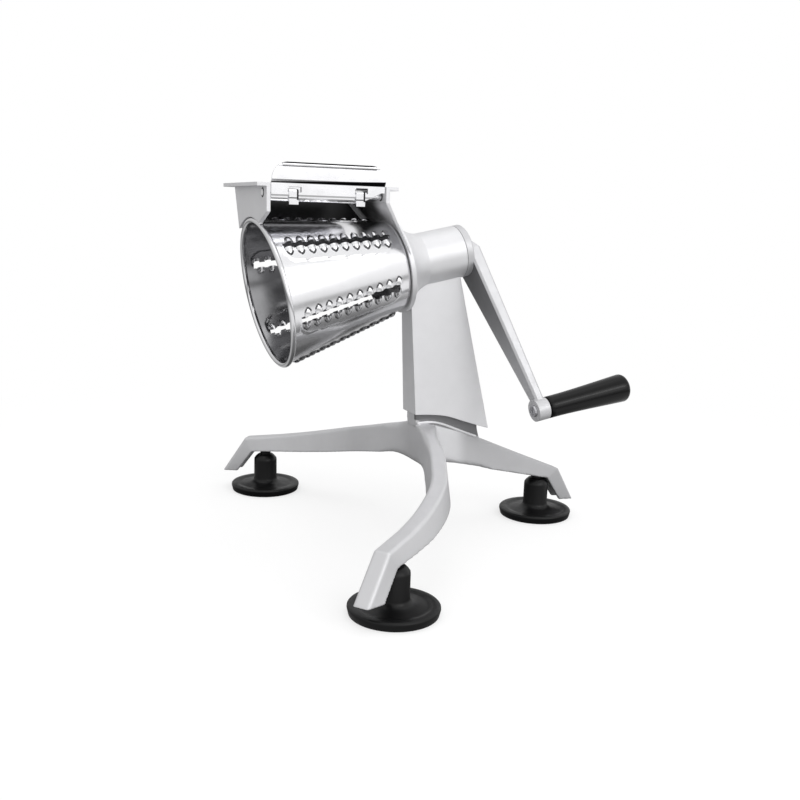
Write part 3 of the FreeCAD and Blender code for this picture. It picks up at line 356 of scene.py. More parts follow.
def guard_painted_reflections_and_shade(tree, where):
    """Painted dark reflections along the pressed bend and the edge and top of the hem, and painted shade in
    the slots for the hooks, dark against the bright sheet.
    """
    masks = [painted_reflection_line(tree, where, line) for line in (BEND_LINE, HEM_LINE, HEM_TOP)]
    for across, heights in HOOK_SLOTS:
        masks.append(box_mask(tree, where, (across, (None, GUARD_FRONT_Y), heights), PAINTED_SHADE_SOFT))
    return merged(tree, "MAXIMUM", *masks)


def hook_painted_shade(tree, where):
    """Painted shade on the turned-under side and the bend of each hook."""
    near, far = HOOK_SIDE
    masks = []
    for x in HOOK_MIDDLES:
        side = ((x + near, x + far), (None, HOOK_FRONT_Y), HOOK_SIDE_Z)
        bend = ((x - far, x + far), (None, HOOK_FRONT_Y), HOOK_BEND_Z)
        masks.append(box_mask(tree, where, side, PAINTED_SHADE_SOFT))
        masks.append(box_mask(tree, where, bend, PAINTED_SHADE_SOFT))
    return merged(tree, "MAXIMUM", *masks)


def hopper_shade(tree, where):
    """Painted shade on the deep inner faces of the hopper, which only the drum faces."""
    normal = add(tree, "ShaderNodeTexCoord").outputs["Normal"]
    slant = along_line(tree, where, END_SLANT, *(edge * MM for edge in END_SLANT_SPAN))
    back = merged(tree, "MULTIPLY", box_mask(tree, where, HOPPER_BACK, BACK_SOFT),
                  along_line(tree, normal, (0.0, -1.0, 0.0), *FACING_SPAN))
    end = merged(tree, "MULTIPLY", box_mask(tree, where, HOPPER_END, END_SOFT),
                 along_line(tree, normal, (-1.0, 0.0, 0.0), *FACING_SPAN), slant)
    return merged(tree, "MAXIMUM", back, end)


def crank_shade(tree, where):
    """Painted shade on the arm's inner face beside the barrel, darker towards the hub."""
    normal = add(tree, "ShaderNodeTexCoord").outputs["Normal"]
    inner = along_line(tree, normal, -SHAFT_AXIS, *CRANK_FACING_SPAN)
    near = along_line(tree, where, (0.0, 0.0, 1.0),
                      *(SHAFT_POINT.z - drop * MM for drop in CRANK_SHADE_DROP))
    part = add(tree, "ShaderNodeMath", {"operation": "MULTIPLY", 1: CRANK_SHADE}, {0: near})
    return merged(tree, "MULTIPLY", inner, part.outputs[0])


def base_shade(tree, where):
    """Painted shade on the foot of the post under the column's skirt, and on the two legs that stand behind
    it.
    """
    above = along_line(tree, where, (BEAD_SLOPE, 0.0, 1.0),
                       *((edge + BEAD_SLOPE * SHIFT) * MM for edge in BEAD_SPAN))
    foot = merged(tree, "MULTIPLY", box_mask(tree, where, POST_FOOT, FOOT_SOFT), above)
    legs = [box_mask(tree, where, leg, LEG_SOFT) for leg in BACK_LEGS]
    masks = []
    for mask, share in zip((foot, *legs), BASE_SHADES):
        part = add(tree, "ShaderNodeMath", {"operation": "MULTIPLY", 1: share}, {0: mask})
        masks.append(part.outputs[0])
    return merged(tree, "MAXIMUM", *masks)


# ---------------------------------------------------------------- materials
# the blasted skin scatters about half of the light, so it is set between a metal and a matt paint
BLASTED_METAL = 0.55


def cast_aluminium(name, low, high, edge_mm, shade=None, shade_tone="0C0C0E"):
    """Die-cast aluminium, bead blasted: a matt, even grey with a very fine grain."""
    material, tree, skin, where = new_material(name)
    skin.inputs["Metallic"].default_value = BLASTED_METAL
    tint = wandering_tone(tree, where, low, high, size_mm=18.0)
    # painted shade: the mask darkens the tone towards shade_tone
    if shade:
        tint = add(tree, "ShaderNodeMix", {"data_type": "RGBA", 7: colour(shade_tone)},
                   {0: shade(tree, where), 6: tint}).outputs[2]
    tree.links.new(tint, skin.inputs["Base Color"])
    wandering_gloss(tree, skin, where, 0.42, 0.50, size_mm=6.0)
    # the real blasting grain is taken as about 0.15 mm; it is drawn at 0.5 mm so that it shows
    fine_relief(tree, skin, where, size_mm=0.5, detail=2.0, strength=0.12, depth_mm=0.05, edge_mm=edge_mm)
    return material


def bright_metal(name, low, high, rough_low, rough_high, turn=0.0, edge_mm=0.0, painted_shade=None):
    """Steel or bronze, machined or polished: clear reflections, with faint lines along its length."""
    material, tree, skin, where = new_material(name)
    skin.inputs["Metallic"].default_value = 1.0
    tint = wandering_tone(tree, where, low, high, size_mm=25.0)
    # painted shade and painted dark reflections, mixed into the tone
    if painted_shade:
        tint = add(tree, "ShaderNodeMix", {"data_type": "RGBA", 7: colour(PAINTED_DARK_TONE)},
                   {0: painted_shade(tree, where), 6: tint}).outputs[2]
    tree.links.new(tint, skin.inputs["Base Color"])
    wandering_gloss(tree, skin, where, rough_low, rough_high, size_mm=9.0)
    # real wheel lines are taken as about 0.05 mm apart; they are drawn at 0.6 mm so that they show
    turned = add(tree, "ShaderNodeMapping", {"Rotation": (0.0, turn, 0.0), "Scale": (1.0, 0.02, 0.02)},
                 {"Vector": where})
    fine_relief(tree, skin, turned.outputs[0],
                size_mm=0.6, detail=2.0, strength=0.05, depth_mm=0.02, edge_mm=edge_mm)
    return material


def black_skin(name, low, high, rough_low, rough_high, grain_mm, strength, gloss=0.28):
    """Black rubber, plastic or oxide: near black, with a weak shine that shows its roundness."""
    material, tree, skin, where = new_material(name)
    tree.links.new(wandering_tone(tree, where, low, high, size_mm=12.0), skin.inputs["Base Color"])
    wandering_gloss(tree, skin, where, rough_low, rough_high, size_mm=5.0)
    skin.inputs["Specular IOR Level"].default_value = gloss
    fine_relief(tree, skin, where, grain_mm, detail=3.0, strength=strength, depth_mm=0.05)
    return material


SHAFT_TURN = -math.atan2(SHAFT_AXIS.z, SHAFT_AXIS.x)

# aluminium, die cast and bead blasted: even, matt and pale; the base is set darker than the hopper as
# painted shade, the crank a little darker, and the rib lighter as a painted highlight; the faces in shade
# are painted darker, as painted shade
BASE_CASTING = cast_aluminium("bead_blasted_cast_aluminium", "D2D2D4", "DCDCDE", 0.0, base_shade, "5A5A5C")
BODY_CASTING = cast_aluminium("bead_blasted_hopper_casting", "DEDEE0", "E8E8EA", 0.7, hopper_shade)
CRANK_CASTING = cast_aluminium("bead_blasted_crank_casting", "C8C8CA", "D2D2D4", 0.9, crank_shade, "464648")
BEAD_CASTING = cast_aluminium("bead_blasted_rib", "E6E6E8", "EEEEF0", 0.0)
# stainless sheet, spun on a form and wheel polished: soft, bright reflections on the outside
DRUM_STEEL = bright_metal("spun_polished_stainless", "E4E4E6", "F4F4F6", 0.15, 0.21, SHAFT_TURN)
# the inner face: the same polished steel in a darker tone, painted shade for the dim inside of the cone
DRUM_INSIDE_SHADED = bright_metal("spun_stainless_inner_face_painted_shade", "8A8A8C", "AAAAAC", 0.14, 0.20, SHAFT_TURN)
# the lip is burnished by its rolling wheel: a thin, sharp line of light
RIM_STEEL = bright_metal("rolled_stainless_lip", "D8D8DA", "ECECEE", 0.07, 0.12, SHAFT_TURN)
# the steep closed end of a tooth: duller, and painted dark as painted shade
TOOTH_PAINTED_SHADE = bright_metal("tooth_flank_painted_shade", "58585A", "6E6E70", 0.22, 0.30, SHAFT_TURN)
# stainless sheet and strip, mirror polished before bending: almost white, with painted dark reflections at
# the bends and painted shade at the hook slots and on the hooks
GUARD_STEEL = bright_metal(
    "mirror_polished_stainless", "ECECEE", "FAFAFC", 0.07, 0.12, 0.0, 0.35, guard_painted_reflections_and_shade)
HOOK_STEEL = bright_metal(
    "bright_stainless_strip", "E2E2E4", "F4F4F6", 0.08, 0.14, 0.0, 0.25, hook_painted_shade)
# turned steel, zinc plated: grey with a soft sheen
HARDWARE = bright_metal("bright_zinc_plated_steel", "B8B8BC", "CFCFD2", 0.22, 0.32, 0.0, 0.25)
# bronze, sintered: brown and dull, with its pores full of oil
BRONZE = bright_metal("sintered_bronze", "8A6A3C", "A47E48", 0.30, 0.42)
# natural rubber, moulded: deep black with a satin edge
RUBBER = black_skin("moulded_black_rubber", "060607", "0B0B0C", 0.32, 0.44, 0.6, 0.08)
# phenolic, moulded and buffed: one long highlight on black
GRIP_BLACK = black_skin("gloss_black_phenolic", "020203", "050506", 0.18, 0.26, 2.5, 0.03, 0.24)
# nylon, moulded: matt black
GROMMET_BLACK = black_skin("matt_black_nylon", "0C0C0D", "141416", 0.45, 0.6, 0.8, 0.05)
# steel, black oxide: black with a metal's edge
STUD_BLACK = black_skin("black_oxide_steel", "060607", "101012", 0.30, 0.42, 0.9, 0.05)


# ---------------------------------------------------------------- castings
HUB_X = 24.0                        # middle of the hub that the legs grow from
ROOT_REACH = 56.0                   # the roots are rounded up to this far from it,
ROOT_FADE = 16.0                    # less and less over this distance,
ROOT_TOP_Z = 95.0                   # and below this height
ROOT_TOP_FADE = 5.0
ROOT_PASSES = 150
VOXEL = 0.75
BASE_FACES = 95000


def root_share(co):
    """How much a point of the base belongs to the rounded roots of the legs."""
    away = math.hypot(co.x / MM - HUB_X - SHIFT, co.y / MM)
    near = min(1.0, max(0.0, (ROOT_REACH - away) / ROOT_FADE))
    return near * min(1.0, max(0.0, (ROOT_TOP_Z - co.z / MM) / ROOT_TOP_FADE))


def tripod():
    """The base casting, with the roots of its legs rounded as the mould leaves them."""
    casting = twin(frame["nodes"]["base_tripod"])
    casting.parent = None
    casting.matrix_world = Matrix.Identity(4)
    for key in [key for key in casting.keys() if key.startswith("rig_")]:
        del casting[key]
    edit(casting)
    bpy.ops.mesh.remove_doubles(threshold=MERGE * MM)
    done()
    modify(casting, "REMESH", mode="VOXEL", voxel_size=VOXEL * MM, use_smooth_shade=True)
    modify(casting, "SMOOTH", factor=0.5, iterations=2)
    roots = casting.vertex_groups.new(name="roots")
    for vertex in casting.data.vertices:
        share = root_share(vertex.co)
        if share > 0:
            roots.add([vertex.index], share, "REPLACE")
    modify(casting, "SMOOTH", factor=0.5, iterations=ROOT_PASSES, vertex_group="roots")
    casting.vertex_groups.clear()
    modify(casting, "DECIMATE", ratio=BASE_FACES / len(casting.data.polygons))
    activate(casting)
    bpy.ops.object.shade_smooth()
    dress(casting, "tripod_casting", BASE_CASTING, "machine", "cast_aluminium", "base_tripod")


# x and height of the bead's middle
BEAD_LINE = ((3.2, 98.3), (10.0, 99.0), (17.5, 98.7), (26.6, 96.6), (36.6, 92.6), (46.8, 88.3),
             (61.0, 83.0))
BEAD_R = 1.25
BEAD_Y = -9.7


def bead():
    """The raised line cast round the foot of the post."""
    curve = bpy.data.curves.new("bead", "CURVE")
    curve.dimensions = "3D"
    curve.bevel_depth = BEAD_R * MM
    curve.bevel_resolution = 5
    curve.resolution_u = 10
    curve.use_fill_caps = True
    line = curve.splines.new("NURBS")
    line.points.add(len(BEAD_LINE) - 1)
    for point, (x, z) in zip(line.points, BEAD_LINE):
        point.co = ((x + SHIFT) * MM, BEAD_Y * MM, z * MM, 1.0)
    line.order_u = 3
    line.use_endpoint_u = True
    obj = bpy.data.objects.new("bead", curve)
    bpy.context.scene.collection.objects.link(obj)
    activate(obj)
    bpy.ops.object.convert(target="MESH")
    rib = bpy.context.object
    outward(rib)
    smooth(rib, 60)
    dress(rib, "post_bead", BEAD_CASTING, "machine", "cast_aluminium")


# ---------------------------------------------------------------- drum
# s is the distance along the shaft from its middle, "off" the distance round the drum from a slot
MOUTH_S = -130.4
END_S = -21.9
MOUTH_R = 58.4
END_R = 36.9
SHEET = 0.9
RIM_BEAD = 2.1
RIM_RING = 58.1
BANDS = 6
FIRST_BAND = 47.5                   # degrees from the top, towards the front
TEETH = 10
TOOTH_PITCH = 9.3
FIRST_SCOOP = -119.4                # s of the first tooth in the row below the slot
FIRST_PEAK = -117.0                 # and in the row above it
TOOTH_WIDTH = 6.9
TOOTH_LENGTH = 6.2
TOOTH_HEIGHT = 2.5
TOOTH_SHEET = 0.5
TOOTH_SINK = 0.2                    # the foot of a tooth lies this far inside the sheet
TOOTH_LAP = 0.1
# the faces of a tooth that are painted dark as painted shade
TOOTH_PAINTED_FLANK = (0.50, 0.62)          # the dull flank: past this share of the length, under this of the height
HOLE_EDGE = (0.9, 1.2)              # the hole under a tooth is smaller than it by these
SLOT_HALF = 2.6
SLOT_CORNER = 1.5
SLOT_SPAN = ((FIRST_SCOOP - 3.2, FIRST_SCOOP + TOOTH_PITCH * TEETH - 5.4), (-SLOT_HALF, SLOT_HALF))
PANEL_RISE = 0.6
PANEL_DEPTH = 13.0
PANEL_CORNER = 8.0
PANEL_SPAN = ((-123.2, -32.6), (-PANEL_DEPTH, PANEL_DEPTH))
SHELL_SIDES = 360
SHELL_CUTS = 119
SNAP = 0.5                          # points this near to an outline are moved onto it
FAR = 9.0                           # any distance past SNAP
BAND_REACH = 20.0


def cone_radius(s):
    share = (s - MOUTH_S) / (END_S - MOUTH_S)
    return MOUTH_R + share * (END_R - MOUTH_R)


def drum_spot(co):
    """(s, off) of a point: off is measured from the nearest band's slot, positive downwards at the front."""
    s = co.x / MM
    angle = math.degrees(math.atan2(-co.y, co.z)) - FIRST_BAND
    step = 360.0 / BANDS
    off = (angle + step / 2) % step - step / 2
    return s, math.radians(off) * cone_radius(s)


def outline_gap(s, off, span, corner):
    """Distance outside a round-cornered rectangle (negative inside), in the unrolled sheet."""
    (s0, s1), (o0, o1) = span
    ds = abs(s - (s0 + s1) / 2) - (s1 - s0) / 2 + corner
    do = abs(off - (o0 + o1) / 2) - (o1 - o0) / 2 + corner
    return math.hypot(max(ds, 0.0), max(do, 0.0)) + min(max(ds, do), 0.0) - corner


def slot_gap(s, off):
    return outline_gap(s, off, SLOT_SPAN, SLOT_CORNER)


def panel_edge(s, off):
    """The outline of the raised panel, which lies only below the slot."""
    return outline_gap(s, off, PANEL_SPAN, PANEL_CORNER) if off > 0 else FAR


def on_panel(co):
    s, off = drum_spot(co)
    return off > -0.05 and outline_gap(s, off, PANEL_SPAN, PANEL_CORNER) < 0.05


def tooth_places():
    """(side of the slot, s) of every tooth of a band: +1 below the slot, -1 above it."""
    return [(side, first + n * TOOTH_PITCH) for side, first in ((1, FIRST_SCOOP), (-1, FIRST_PEAK))
            for n in range(TEETH)]


def is_cut(centre):
    """Whether a face of the sheet lies in a slot or under a tooth."""
    s, off = drum_spot(centre)
    if slot_gap(s, off) < 0.0:
        return True
    for side, spot in tooth_places():
        across = (s - spot) / (TOOTH_WIDTH / 2 - HOLE_EDGE[0])
        away = (off * side - SLOT_HALF) / (TOOTH_LENGTH - HOLE_EDGE[1])
        if away > 0 and math.hypot(across, away) < 1:
            return True
    return False


def snap_to(mesh, gap):
    """Slide the points near a line onto it, round the cone, so that the line comes out clean."""
    for vertex in mesh.vertices:
        s, off = drum_spot(vertex.co)
        near = gap(s, off)
        if abs(near) > SNAP or abs(off) > BAND_REACH:
            continue
        slope_s = (gap(s + 0.05, off) - gap(s - 0.05, off)) / 0.1
        slope_off = (gap(s, off + 0.05) - gap(s, off - 0.05)) / 0.1
        size = math.hypot(slope_s, slope_off)
        if size < 0.5:
            continue
        new_s = s - near * slope_s / size
        radius = cone_radius(new_s)
        turn = (off - near * slope_off / size) / radius - off / cone_radius(s)
        angle = math.atan2(-vertex.co.y, vertex.co.z) + turn
        vertex.co = (new_s * MM, -math.sin(angle) * radius * MM, math.cos(angle) * radius * MM)


def drum_shell():
    """The spun cone with its panels pressed out, its slots and tooth holes cut, and its wall."""
    length = (END_S - MOUTH_S) * MM
    bpy.ops.mesh.primitive_cone_add(
        vertices=SHELL_SIDES, radius1=MOUTH_R * MM, radius2=END_R * MM, depth=length,
        end_fill_type="NOTHING")
    shell = bpy.context.object
    middle = Matrix.Translation(((MOUTH_S + END_S) / 2 * MM, 0, 0))
    place(shell, middle @ Matrix.Rotation(math.pi / 2, 4, "Y"))
    choose(shell, lambda a, b: abs(a.x - b.x) > length * 0.5, "EDGE")
    bpy.ops.mesh.subdivide(number_cuts=SHELL_CUTS)
    done()
    snap_to(shell.data, slot_gap)
    snap_to(shell.data, panel_edge)
    choose(shell, on_panel)
    bpy.ops.transform.shrink_fatten(value=PANEL_RISE * MM)
    done()
    choose(shell, is_cut, "FACE")
    bpy.ops.mesh.delete(type="FACE")
    done()
    for material in (DRUM_STEEL, DRUM_INSIDE_SHADED, TOOTH_PAINTED_SHADE):
        shell.data.materials.append(material)
    modify(shell, "SOLIDIFY", thickness=SHEET * MM, offset=-1.0, material_offset=1, material_offset_rim=1)
    return shell


def tooth():
    """One punched tooth: half a dome along +Y, open at its mouth, which faces the slot."""
    bpy.ops.mesh.primitive_uv_sphere_add(segments=20, ring_count=12, radius=1.0)
    dome = bpy.context.object
    place(dome, Matrix.Rotation(math.pi / 2, 4, "X"))
    place(dome, Matrix.Diagonal((TOOTH_WIDTH / 2 * MM, TOOTH_LENGTH * MM, TOOTH_HEIGHT * MM, 1.0)))
    for normal, height in (((0, 1, 0), 0.0), ((0, 0, 1), -TOOTH_SINK * MM)):
        edit(dome)
        bpy.ops.mesh.bisect(plane_co=(0, 0, height), plane_no=normal, clear_inner=True)
        done()
    for vertex in dome.data.vertices:
        # fuller shoulders than an ellipsoid, so the closed end stands up steeply
        co = vertex.co
        run = min(1.0, math.hypot(co.x / (TOOTH_WIDTH / 2 * MM), co.y / (TOOTH_LENGTH * MM)))
        co.z = TOOTH_HEIGHT * MM * (1.0 - run ** 2.6) ** 0.55 if run < 1.0 else min(co.z, 0.0)
    for material in (DRUM_STEEL, DRUM_INSIDE_SHADED, TOOTH_PAINTED_SHADE):
        dome.data.materials.append(material)
    # the faces of the steep closed end take the painted shade
    beyond, below = TOOTH_PAINTED_FLANK[0] * TOOTH_LENGTH * MM, TOOTH_PAINTED_FLANK[1] * TOOTH_HEIGHT * MM
    for face in dome.data.polygons:
        if face.center.y > beyond and face.center.z < below:
            face.material_index = 2
    modify(dome, "SOLIDIFY", thickness=TOOTH_SHEET * MM, offset=-1.0, material_offset=0)
    return dome


def tooth_matrix(band, side, s):
    """Place of a tooth: its own +Y runs away from the slot, its +Z outwards."""
    radius = cone_radius(s) + (PANEL_RISE if side > 0 else 0.0) - TOOTH_SINK
    start = math.radians(FIRST_BAND + band * 360.0 / BANDS) + side * SLOT_HALF / radius
    # the dome lies on the chord from its mouth to its tip
    middle = start + side * TOOTH_LENGTH / 2 / radius
    out = Vector((0, -math.sin(middle), math.cos(middle)))
    away = Vector((0, -math.cos(middle), -math.sin(middle))) * side
    matrix = Matrix((Vector((side, 0, 0)), away, out)).transposed().to_4x4()
    mouth = Vector((s, -math.sin(start) * radius, math.cos(start) * radius))
    matrix.translation = (mouth - away * TOOTH_LAP) * MM
    return matrix


def drum():
    """The drum: shell, teeth and rolled rim in one piece."""
    shell = drum_shell()
    one = tooth()
    teeth = []
    for band in range(BANDS):
        for side, s in tooth_places():
            copy = twin(one)
            place(copy, tooth_matrix(band, side, s))
            teeth.append(copy)
    bpy.data.objects.remove(one)
    bpy.ops.mesh.primitive_torus_add(
        major_segments=180, minor_segments=18, major_radius=RIM_RING * MM, minor_radius=RIM_BEAD * MM)
    rim = bpy.context.object
    rim.data.materials.append(RIM_STEEL)
    place(rim, Matrix.Translation((MOUTH_S * MM, 0, 0)) @ Matrix.Rotation(math.pi / 2, 4, "Y"))
    clear_selection()
    for obj in (*teeth, rim, shell):
        obj.select_set(True)
    bpy.context.view_layer.objects.active = shell
    bpy.ops.object.join()
    place(shell, along(SHAFT_POINT, SHAFT_AXIS))
    smooth(shell, 40)
    dress(shell, "toothed_drum", None, "rotor", "stainless", "drum_cone")


# ---------------------------------------------------------------- grip and cups
# outline of the grip, (distance from its start, radius): its mouth at the washer, then its swell
GRIP_START = 1.2
GRIP_MOUTH = ((0.0, 4.1), (0.0, 8.2), (0.15, 8.8), (0.6, 9.3))
GRIP_SWELL = ((4.0, 9.3), (11.0, 9.36), (18.0, 9.5), (28.0, 9.86), (38.0, 10.3), (49.0, 10.84),
              (60.0, 11.4), (68.0, 11.8), (74.5, 12.1))
GRIP_END = 6.0                      # length of the rounded end


def grip():
    """The turned grip: slim at the crank, thick at its rounded end."""
    last_x, last_r = GRIP_SWELL[-1]
    profile = [(GRIP_START + x, r) for x, r in GRIP_MOUTH + GRIP_SWELL]
    for n in range(1, 9):
        turn = math.radians(10.0 * n)
        profile.append((GRIP_START + last_x + GRIP_END * math.sin(turn), last_r * math.cos(turn) ** 0.8))
    profile.append((GRIP_START + last_x + GRIP_END, 0.0))
    body = spun(profile, 72)
    place(body, along(GRIP_POINT, GRIP_AXIS))
    smooth(body, 50)
    dress(body, "turned_grip", GRIP_BLACK, "grip", "grip_plastic", "handle_grip")


# outline of a cup, (height, radius): the hollow below, the lip (radius from its edge), the dish above it
CUP_HOLLOW = ((6.4, 0.0), (6.0, 9.0), (3.8, 19.0), (1.2, 25.5), (0.0, 28.0), (0.0, 31.2), (0.5, 32.2))
CUP_LIP = ((2.0, -0.7), (5.0, 0.0), (6.0, -0.1), (6.7, -0.7), (7.0, -1.6), (7.2, -5.0), (6.9, -6.4),
           (6.3, -8.2), (6.5, -10.0))
CUP_DISH = ((7.3, 19.0), (7.9, 16.0), (8.7, 13.4), (10.0, 11.7), (12.0, 11.15))
# the stem, (height from its top, radius), and the socket for its stud
CUP_STEM = ((-6.0, 11.1), (-4.4, 10.9), (-2.6, 9.6), (-0.9, 7.9), (-0.3, 7.0), (0.0, 5.6), (0.0, 4.9),
            (-6.0, 4.9), (-6.0, 0.0))


def cup(which):
    """A suction cup, as wide and as high as its solid."""
    low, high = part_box("suction_cup_" + which)
    edge = (high.x - low.x) / 2 / MM
    top = high.z / MM
    profile = [*CUP_HOLLOW, *((z, edge + r) for z, r in CUP_LIP), *CUP_DISH,
               *((top + z, r) for z, r in CUP_STEM)]
    body = spun(profile, 96)
    place(body, Matrix.Rotation(-math.pi / 2, 4, "Y"))
    place(body, Matrix.Translation(((low.x + high.x) / 2, (low.y + high.y) / 2, 0)))
    smooth(body, 45)
    dress(body, "rubber_cup_" + which, RUBBER, "machine", "cup_rubber", "suction_cup_" + which)


tripod()
bead()
drum()
grip()
for foot in ("front", "back", "crank"):
    cup(foot)

# ---------------------------------------------------------------- nodes that keep their own shape
KEPT = (
    (BODY_CASTING, ("body_casting",)),
    (CRANK_CASTING, ("crank_arm",)),
    (GUARD_STEEL, ("food_guard",)),
    (HOOK_STEEL, ("guard_hook_mouth", "guard_hook_crank", "hinge_rod")),
    # the drum's base takes the darker inner steel, as painted shade
    (DRUM_INSIDE_SHADED, ("drum_base",)),
    (HARDWARE, ("drum_socket", "drum_screw", "drive_shaft", "thrust_washer", "crank_screw", "clamp_screw",
                "grip_spindle", "grip_washer", "spindle_nut")),
    (STUD_BLACK, ("foot_stud_front", "foot_stud_back", "foot_stud_crank")),
    (BRONZE, ("front_bush", "rear_bush")),
    (GROMMET_BLACK, ("rod_grommet_mouth", "rod_grommet_crank")),
)
for material, nodes in KEPT:
    for node in nodes:
        mesh = frame["nodes"][node].data
        mesh.materials.clear()
        mesh.materials.append(material)

# ---------------------------------------------------------------- studio
WHITE = (1.0, 1.0, 1.0, 1.0)
# the white cove is bright in front and to the right, and falls off behind on the left
BRIGHT_SIDE = Vector((0.30, -0.78, 0.50))
FLOOR_SIZE = 12.0
FLOOR_TONE = "A9A9A9"
FLOOR_GLOW = 0.62
FLOOR_WHITE_FROM, FLOOR_WHITE_BEYOND = 0.25, 0.75     # metres from the middle
# brightness of the mirrored floor: from and to a distance, and the levels there
FLOOR_RINGS = ((0.16, 0.32, 0.20, 0.95), (0.50, 0.85, 1.0, 0.42), (1.1, 1.8, 0.0, 0.55))


def cove_level(tree, direction, low, high, start, stop):
    """Brightness of the cove in a direction from the object."""
    unit = add(tree, "ShaderNodeVectorMath", {"operation": "NORMALIZE"}, {0: direction})
    side = add(tree, "ShaderNodeVectorMath", {"operation": "DOT_PRODUCT", 1: BRIGHT_SIDE},
               {0: unit.outputs[0]})
    level = add(tree, "ShaderNodeMapRange", {
        "interpolation_type": "SMOOTHSTEP",
        "From Min": start, "From Max": stop, "To Min": low, "To Max": high,
    }, {"Value": side.outputs["Value"]})
    return level.outputs[0]


def mirrored_floor(tree, spot, far):
    """What polished steel shows of the floor: a dark foot, a bright ring, a dark horizon, white beyond."""
    levels = []
    for start, stop, low, high in FLOOR_RINGS:
        level = add(tree, "ShaderNodeMapRange", {
            "interpolation_type": "SMOOTHSTEP",
            "From Min": start, "From Max": stop, "To Min": low, "To Max": high,
        }, {"Value": far})
        levels.append(level.outputs[0])
    foot_level, ring, beyond = levels
    rings = add(tree, "ShaderNodeMath", {"operation": "MULTIPLY_ADD"},
                {0: foot_level, 1: ring, 2: beyond})
    cove = cove_level(tree, spot, 0.50, 1.0, -0.6, 0.5)
    strength = merged(tree, "MULTIPLY", rings.outputs[0], cove)
    return add(tree, "ShaderNodeEmission", {"Color": WHITE}, {"Strength": strength}).outputs[0]


def white_sweep():
    """Floor paint: matt near the object, with its shadow, and plain white to the camera further out."""
    paint = bpy.data.materials.new("white_sweep")
    paint.use_nodes = True
    tree = paint.node_tree
    tree.nodes.clear()
    path = add(tree, "ShaderNodeLightPath").outputs
    spot = add(tree, "ShaderNodeTexCoord").outputs["Object"]
    far = add(tree, "ShaderNodeVectorMath", {"operation": "LENGTH"}, {0: spot}).outputs["Value"]
    matt = add(tree, "ShaderNodeBsdfDiffuse", {"Color": colour(FLOOR_TONE)})
    seen = add(tree, "ShaderNodeMath", {"operation": "MULTIPLY", 1: FLOOR_GLOW},
               {0: path["Is Camera Ray"]})
    glow = add(tree, "ShaderNodeEmission", {"Color": WHITE}, {"Strength": seen.outputs[0]})
    near = add(tree, "ShaderNodeAddShader", None, {0: matt.outputs[0], 1: glow.outputs[0]})
    spread = add(tree, "ShaderNodeMapRange", {
        "interpolation_type": "SMOOTHSTEP",
        "From Min": FLOOR_WHITE_FROM, "From Max": FLOOR_WHITE_BEYOND,
    }, {"Value": far})
    outer = merged(tree, "MULTIPLY", spread.outputs[0], path["Is Camera Ray"])
    plain_white = add(tree, "ShaderNodeEmission", {"Color": WHITE})
    sweep = add(tree, "ShaderNodeMixShader", None,
                {0: outer, 1: near.outputs[0], 2: plain_white.outputs[0]})
    bounced = merged(tree, "MAXIMUM", path["Is Glossy Ray"], path["Is Transmission Ray"])
    whole = add(tree, "ShaderNodeMixShader", None,
                {0: bounced, 1: sweep.outputs[0], 2: mirrored_floor(tree, spot, far)})
    add(tree, "ShaderNodeOutputMaterial", None, {"Surface": whole.outputs[0]})
    return paint


def backdrop():
    """World: white to the camera, and the cove to everything else."""
    world = bpy.data.worlds.new("studio")
    bpy.context.scene.world = world
    world.use_nodes = True
    tree = world.node_tree
    tree.nodes.clear()
    path = add(tree, "ShaderNodeLightPath")
    way = add(tree, "ShaderNodeTexCoord")
    cove = cove_level(tree, way.outputs["Generated"], 0.58, 1.0, -0.9, 0.6)
    level = add(tree, "ShaderNodeMix", {"data_type": "FLOAT", 3: 1.0},
                {0: path.outputs["Is Camera Ray"], 2: cove})
    sky = add(tree, "ShaderNodeBackground", {"Color": WHITE}, {"Strength": level.outputs[0]})
    add(tree, "ShaderNodeOutputWorld", None, {"Surface": sky.outputs[0]})


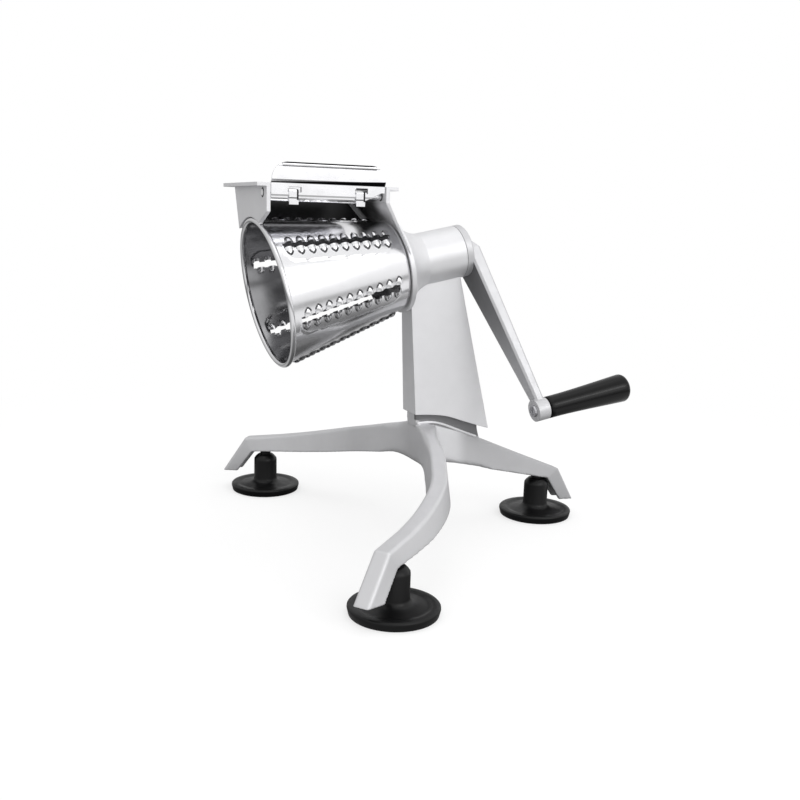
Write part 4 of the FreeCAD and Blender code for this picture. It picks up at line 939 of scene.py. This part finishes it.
def softbox(name, spot, target, size, watts):
    lamp = bpy.data.lights.new(name, "AREA")
    lamp.shape = "RECTANGLE"
    lamp.size, lamp.size_y = size
    lamp.energy = watts
    obj = bpy.data.objects.new(name, lamp)
    obj.location = spot
    obj.rotation_euler = (Vector(target) - Vector(spot)).to_track_quat("-Z", "Y").to_euler()
    bpy.context.scene.collection.objects.link(obj)


bpy.ops.mesh.primitive_plane_add(size=FLOOR_SIZE, location=(0, 0, 0))
floor = bpy.context.object
floor.name = "floor"
floor.data.materials.append(white_sweep())
backdrop()
softbox("key", (0.55, -2.3, 1.25), (0, 0, 0.15), (2.2, 1.8), 13.0)
softbox("overhead", (-0.1, -0.3, 2.0), (0, 0, 0.1), (1.6, 1.6), 3.4)
softbox("highlight", (0.9, -1.6, 1.05), (0.1, 0, 0.15), (0.5, 0.3), 1.6)

# ---- camera: place and angles of the view ----
CAMERA_YAW = math.radians(-24.6)
CAMERA_PITCH = math.radians(11.42)
CAMERA_ROLL = math.radians(1.82)
CAMERA_SPOT = Vector((SHIFT - 341.07, -724.96, 278.71)) * MM
SENSOR = 36.0
FOCAL_SHARE = 944.37 / 800.0        # focal length over the picture's width


def camera():
    across, along_y = math.cos(CAMERA_YAW), math.sin(CAMERA_YAW)
    level, dip = math.cos(CAMERA_PITCH), math.sin(CAMERA_PITCH)
    ahead = Vector((-along_y * level, across * level, -dip))
    right = Vector((across, along_y, 0))
    up = right.cross(ahead)
    cos_roll, sin_roll = math.cos(CAMERA_ROLL), math.sin(CAMERA_ROLL)
    x = right * cos_roll + up * sin_roll
    y = up * cos_roll - right * sin_roll
    data = bpy.data.cameras.new("camera")
    data.sensor_width = SENSOR
    data.lens = SENSOR * FOCAL_SHARE
    obj = bpy.data.objects.new("camera", data)
    obj.matrix_world = Matrix.Translation(CAMERA_SPOT) @ Matrix((x, y, -ahead)).transposed().to_4x4()
    bpy.context.scene.collection.objects.link(obj)
    bpy.context.scene.camera = obj


camera()
bpy.context.scene.view_settings.view_transform = "Standard"
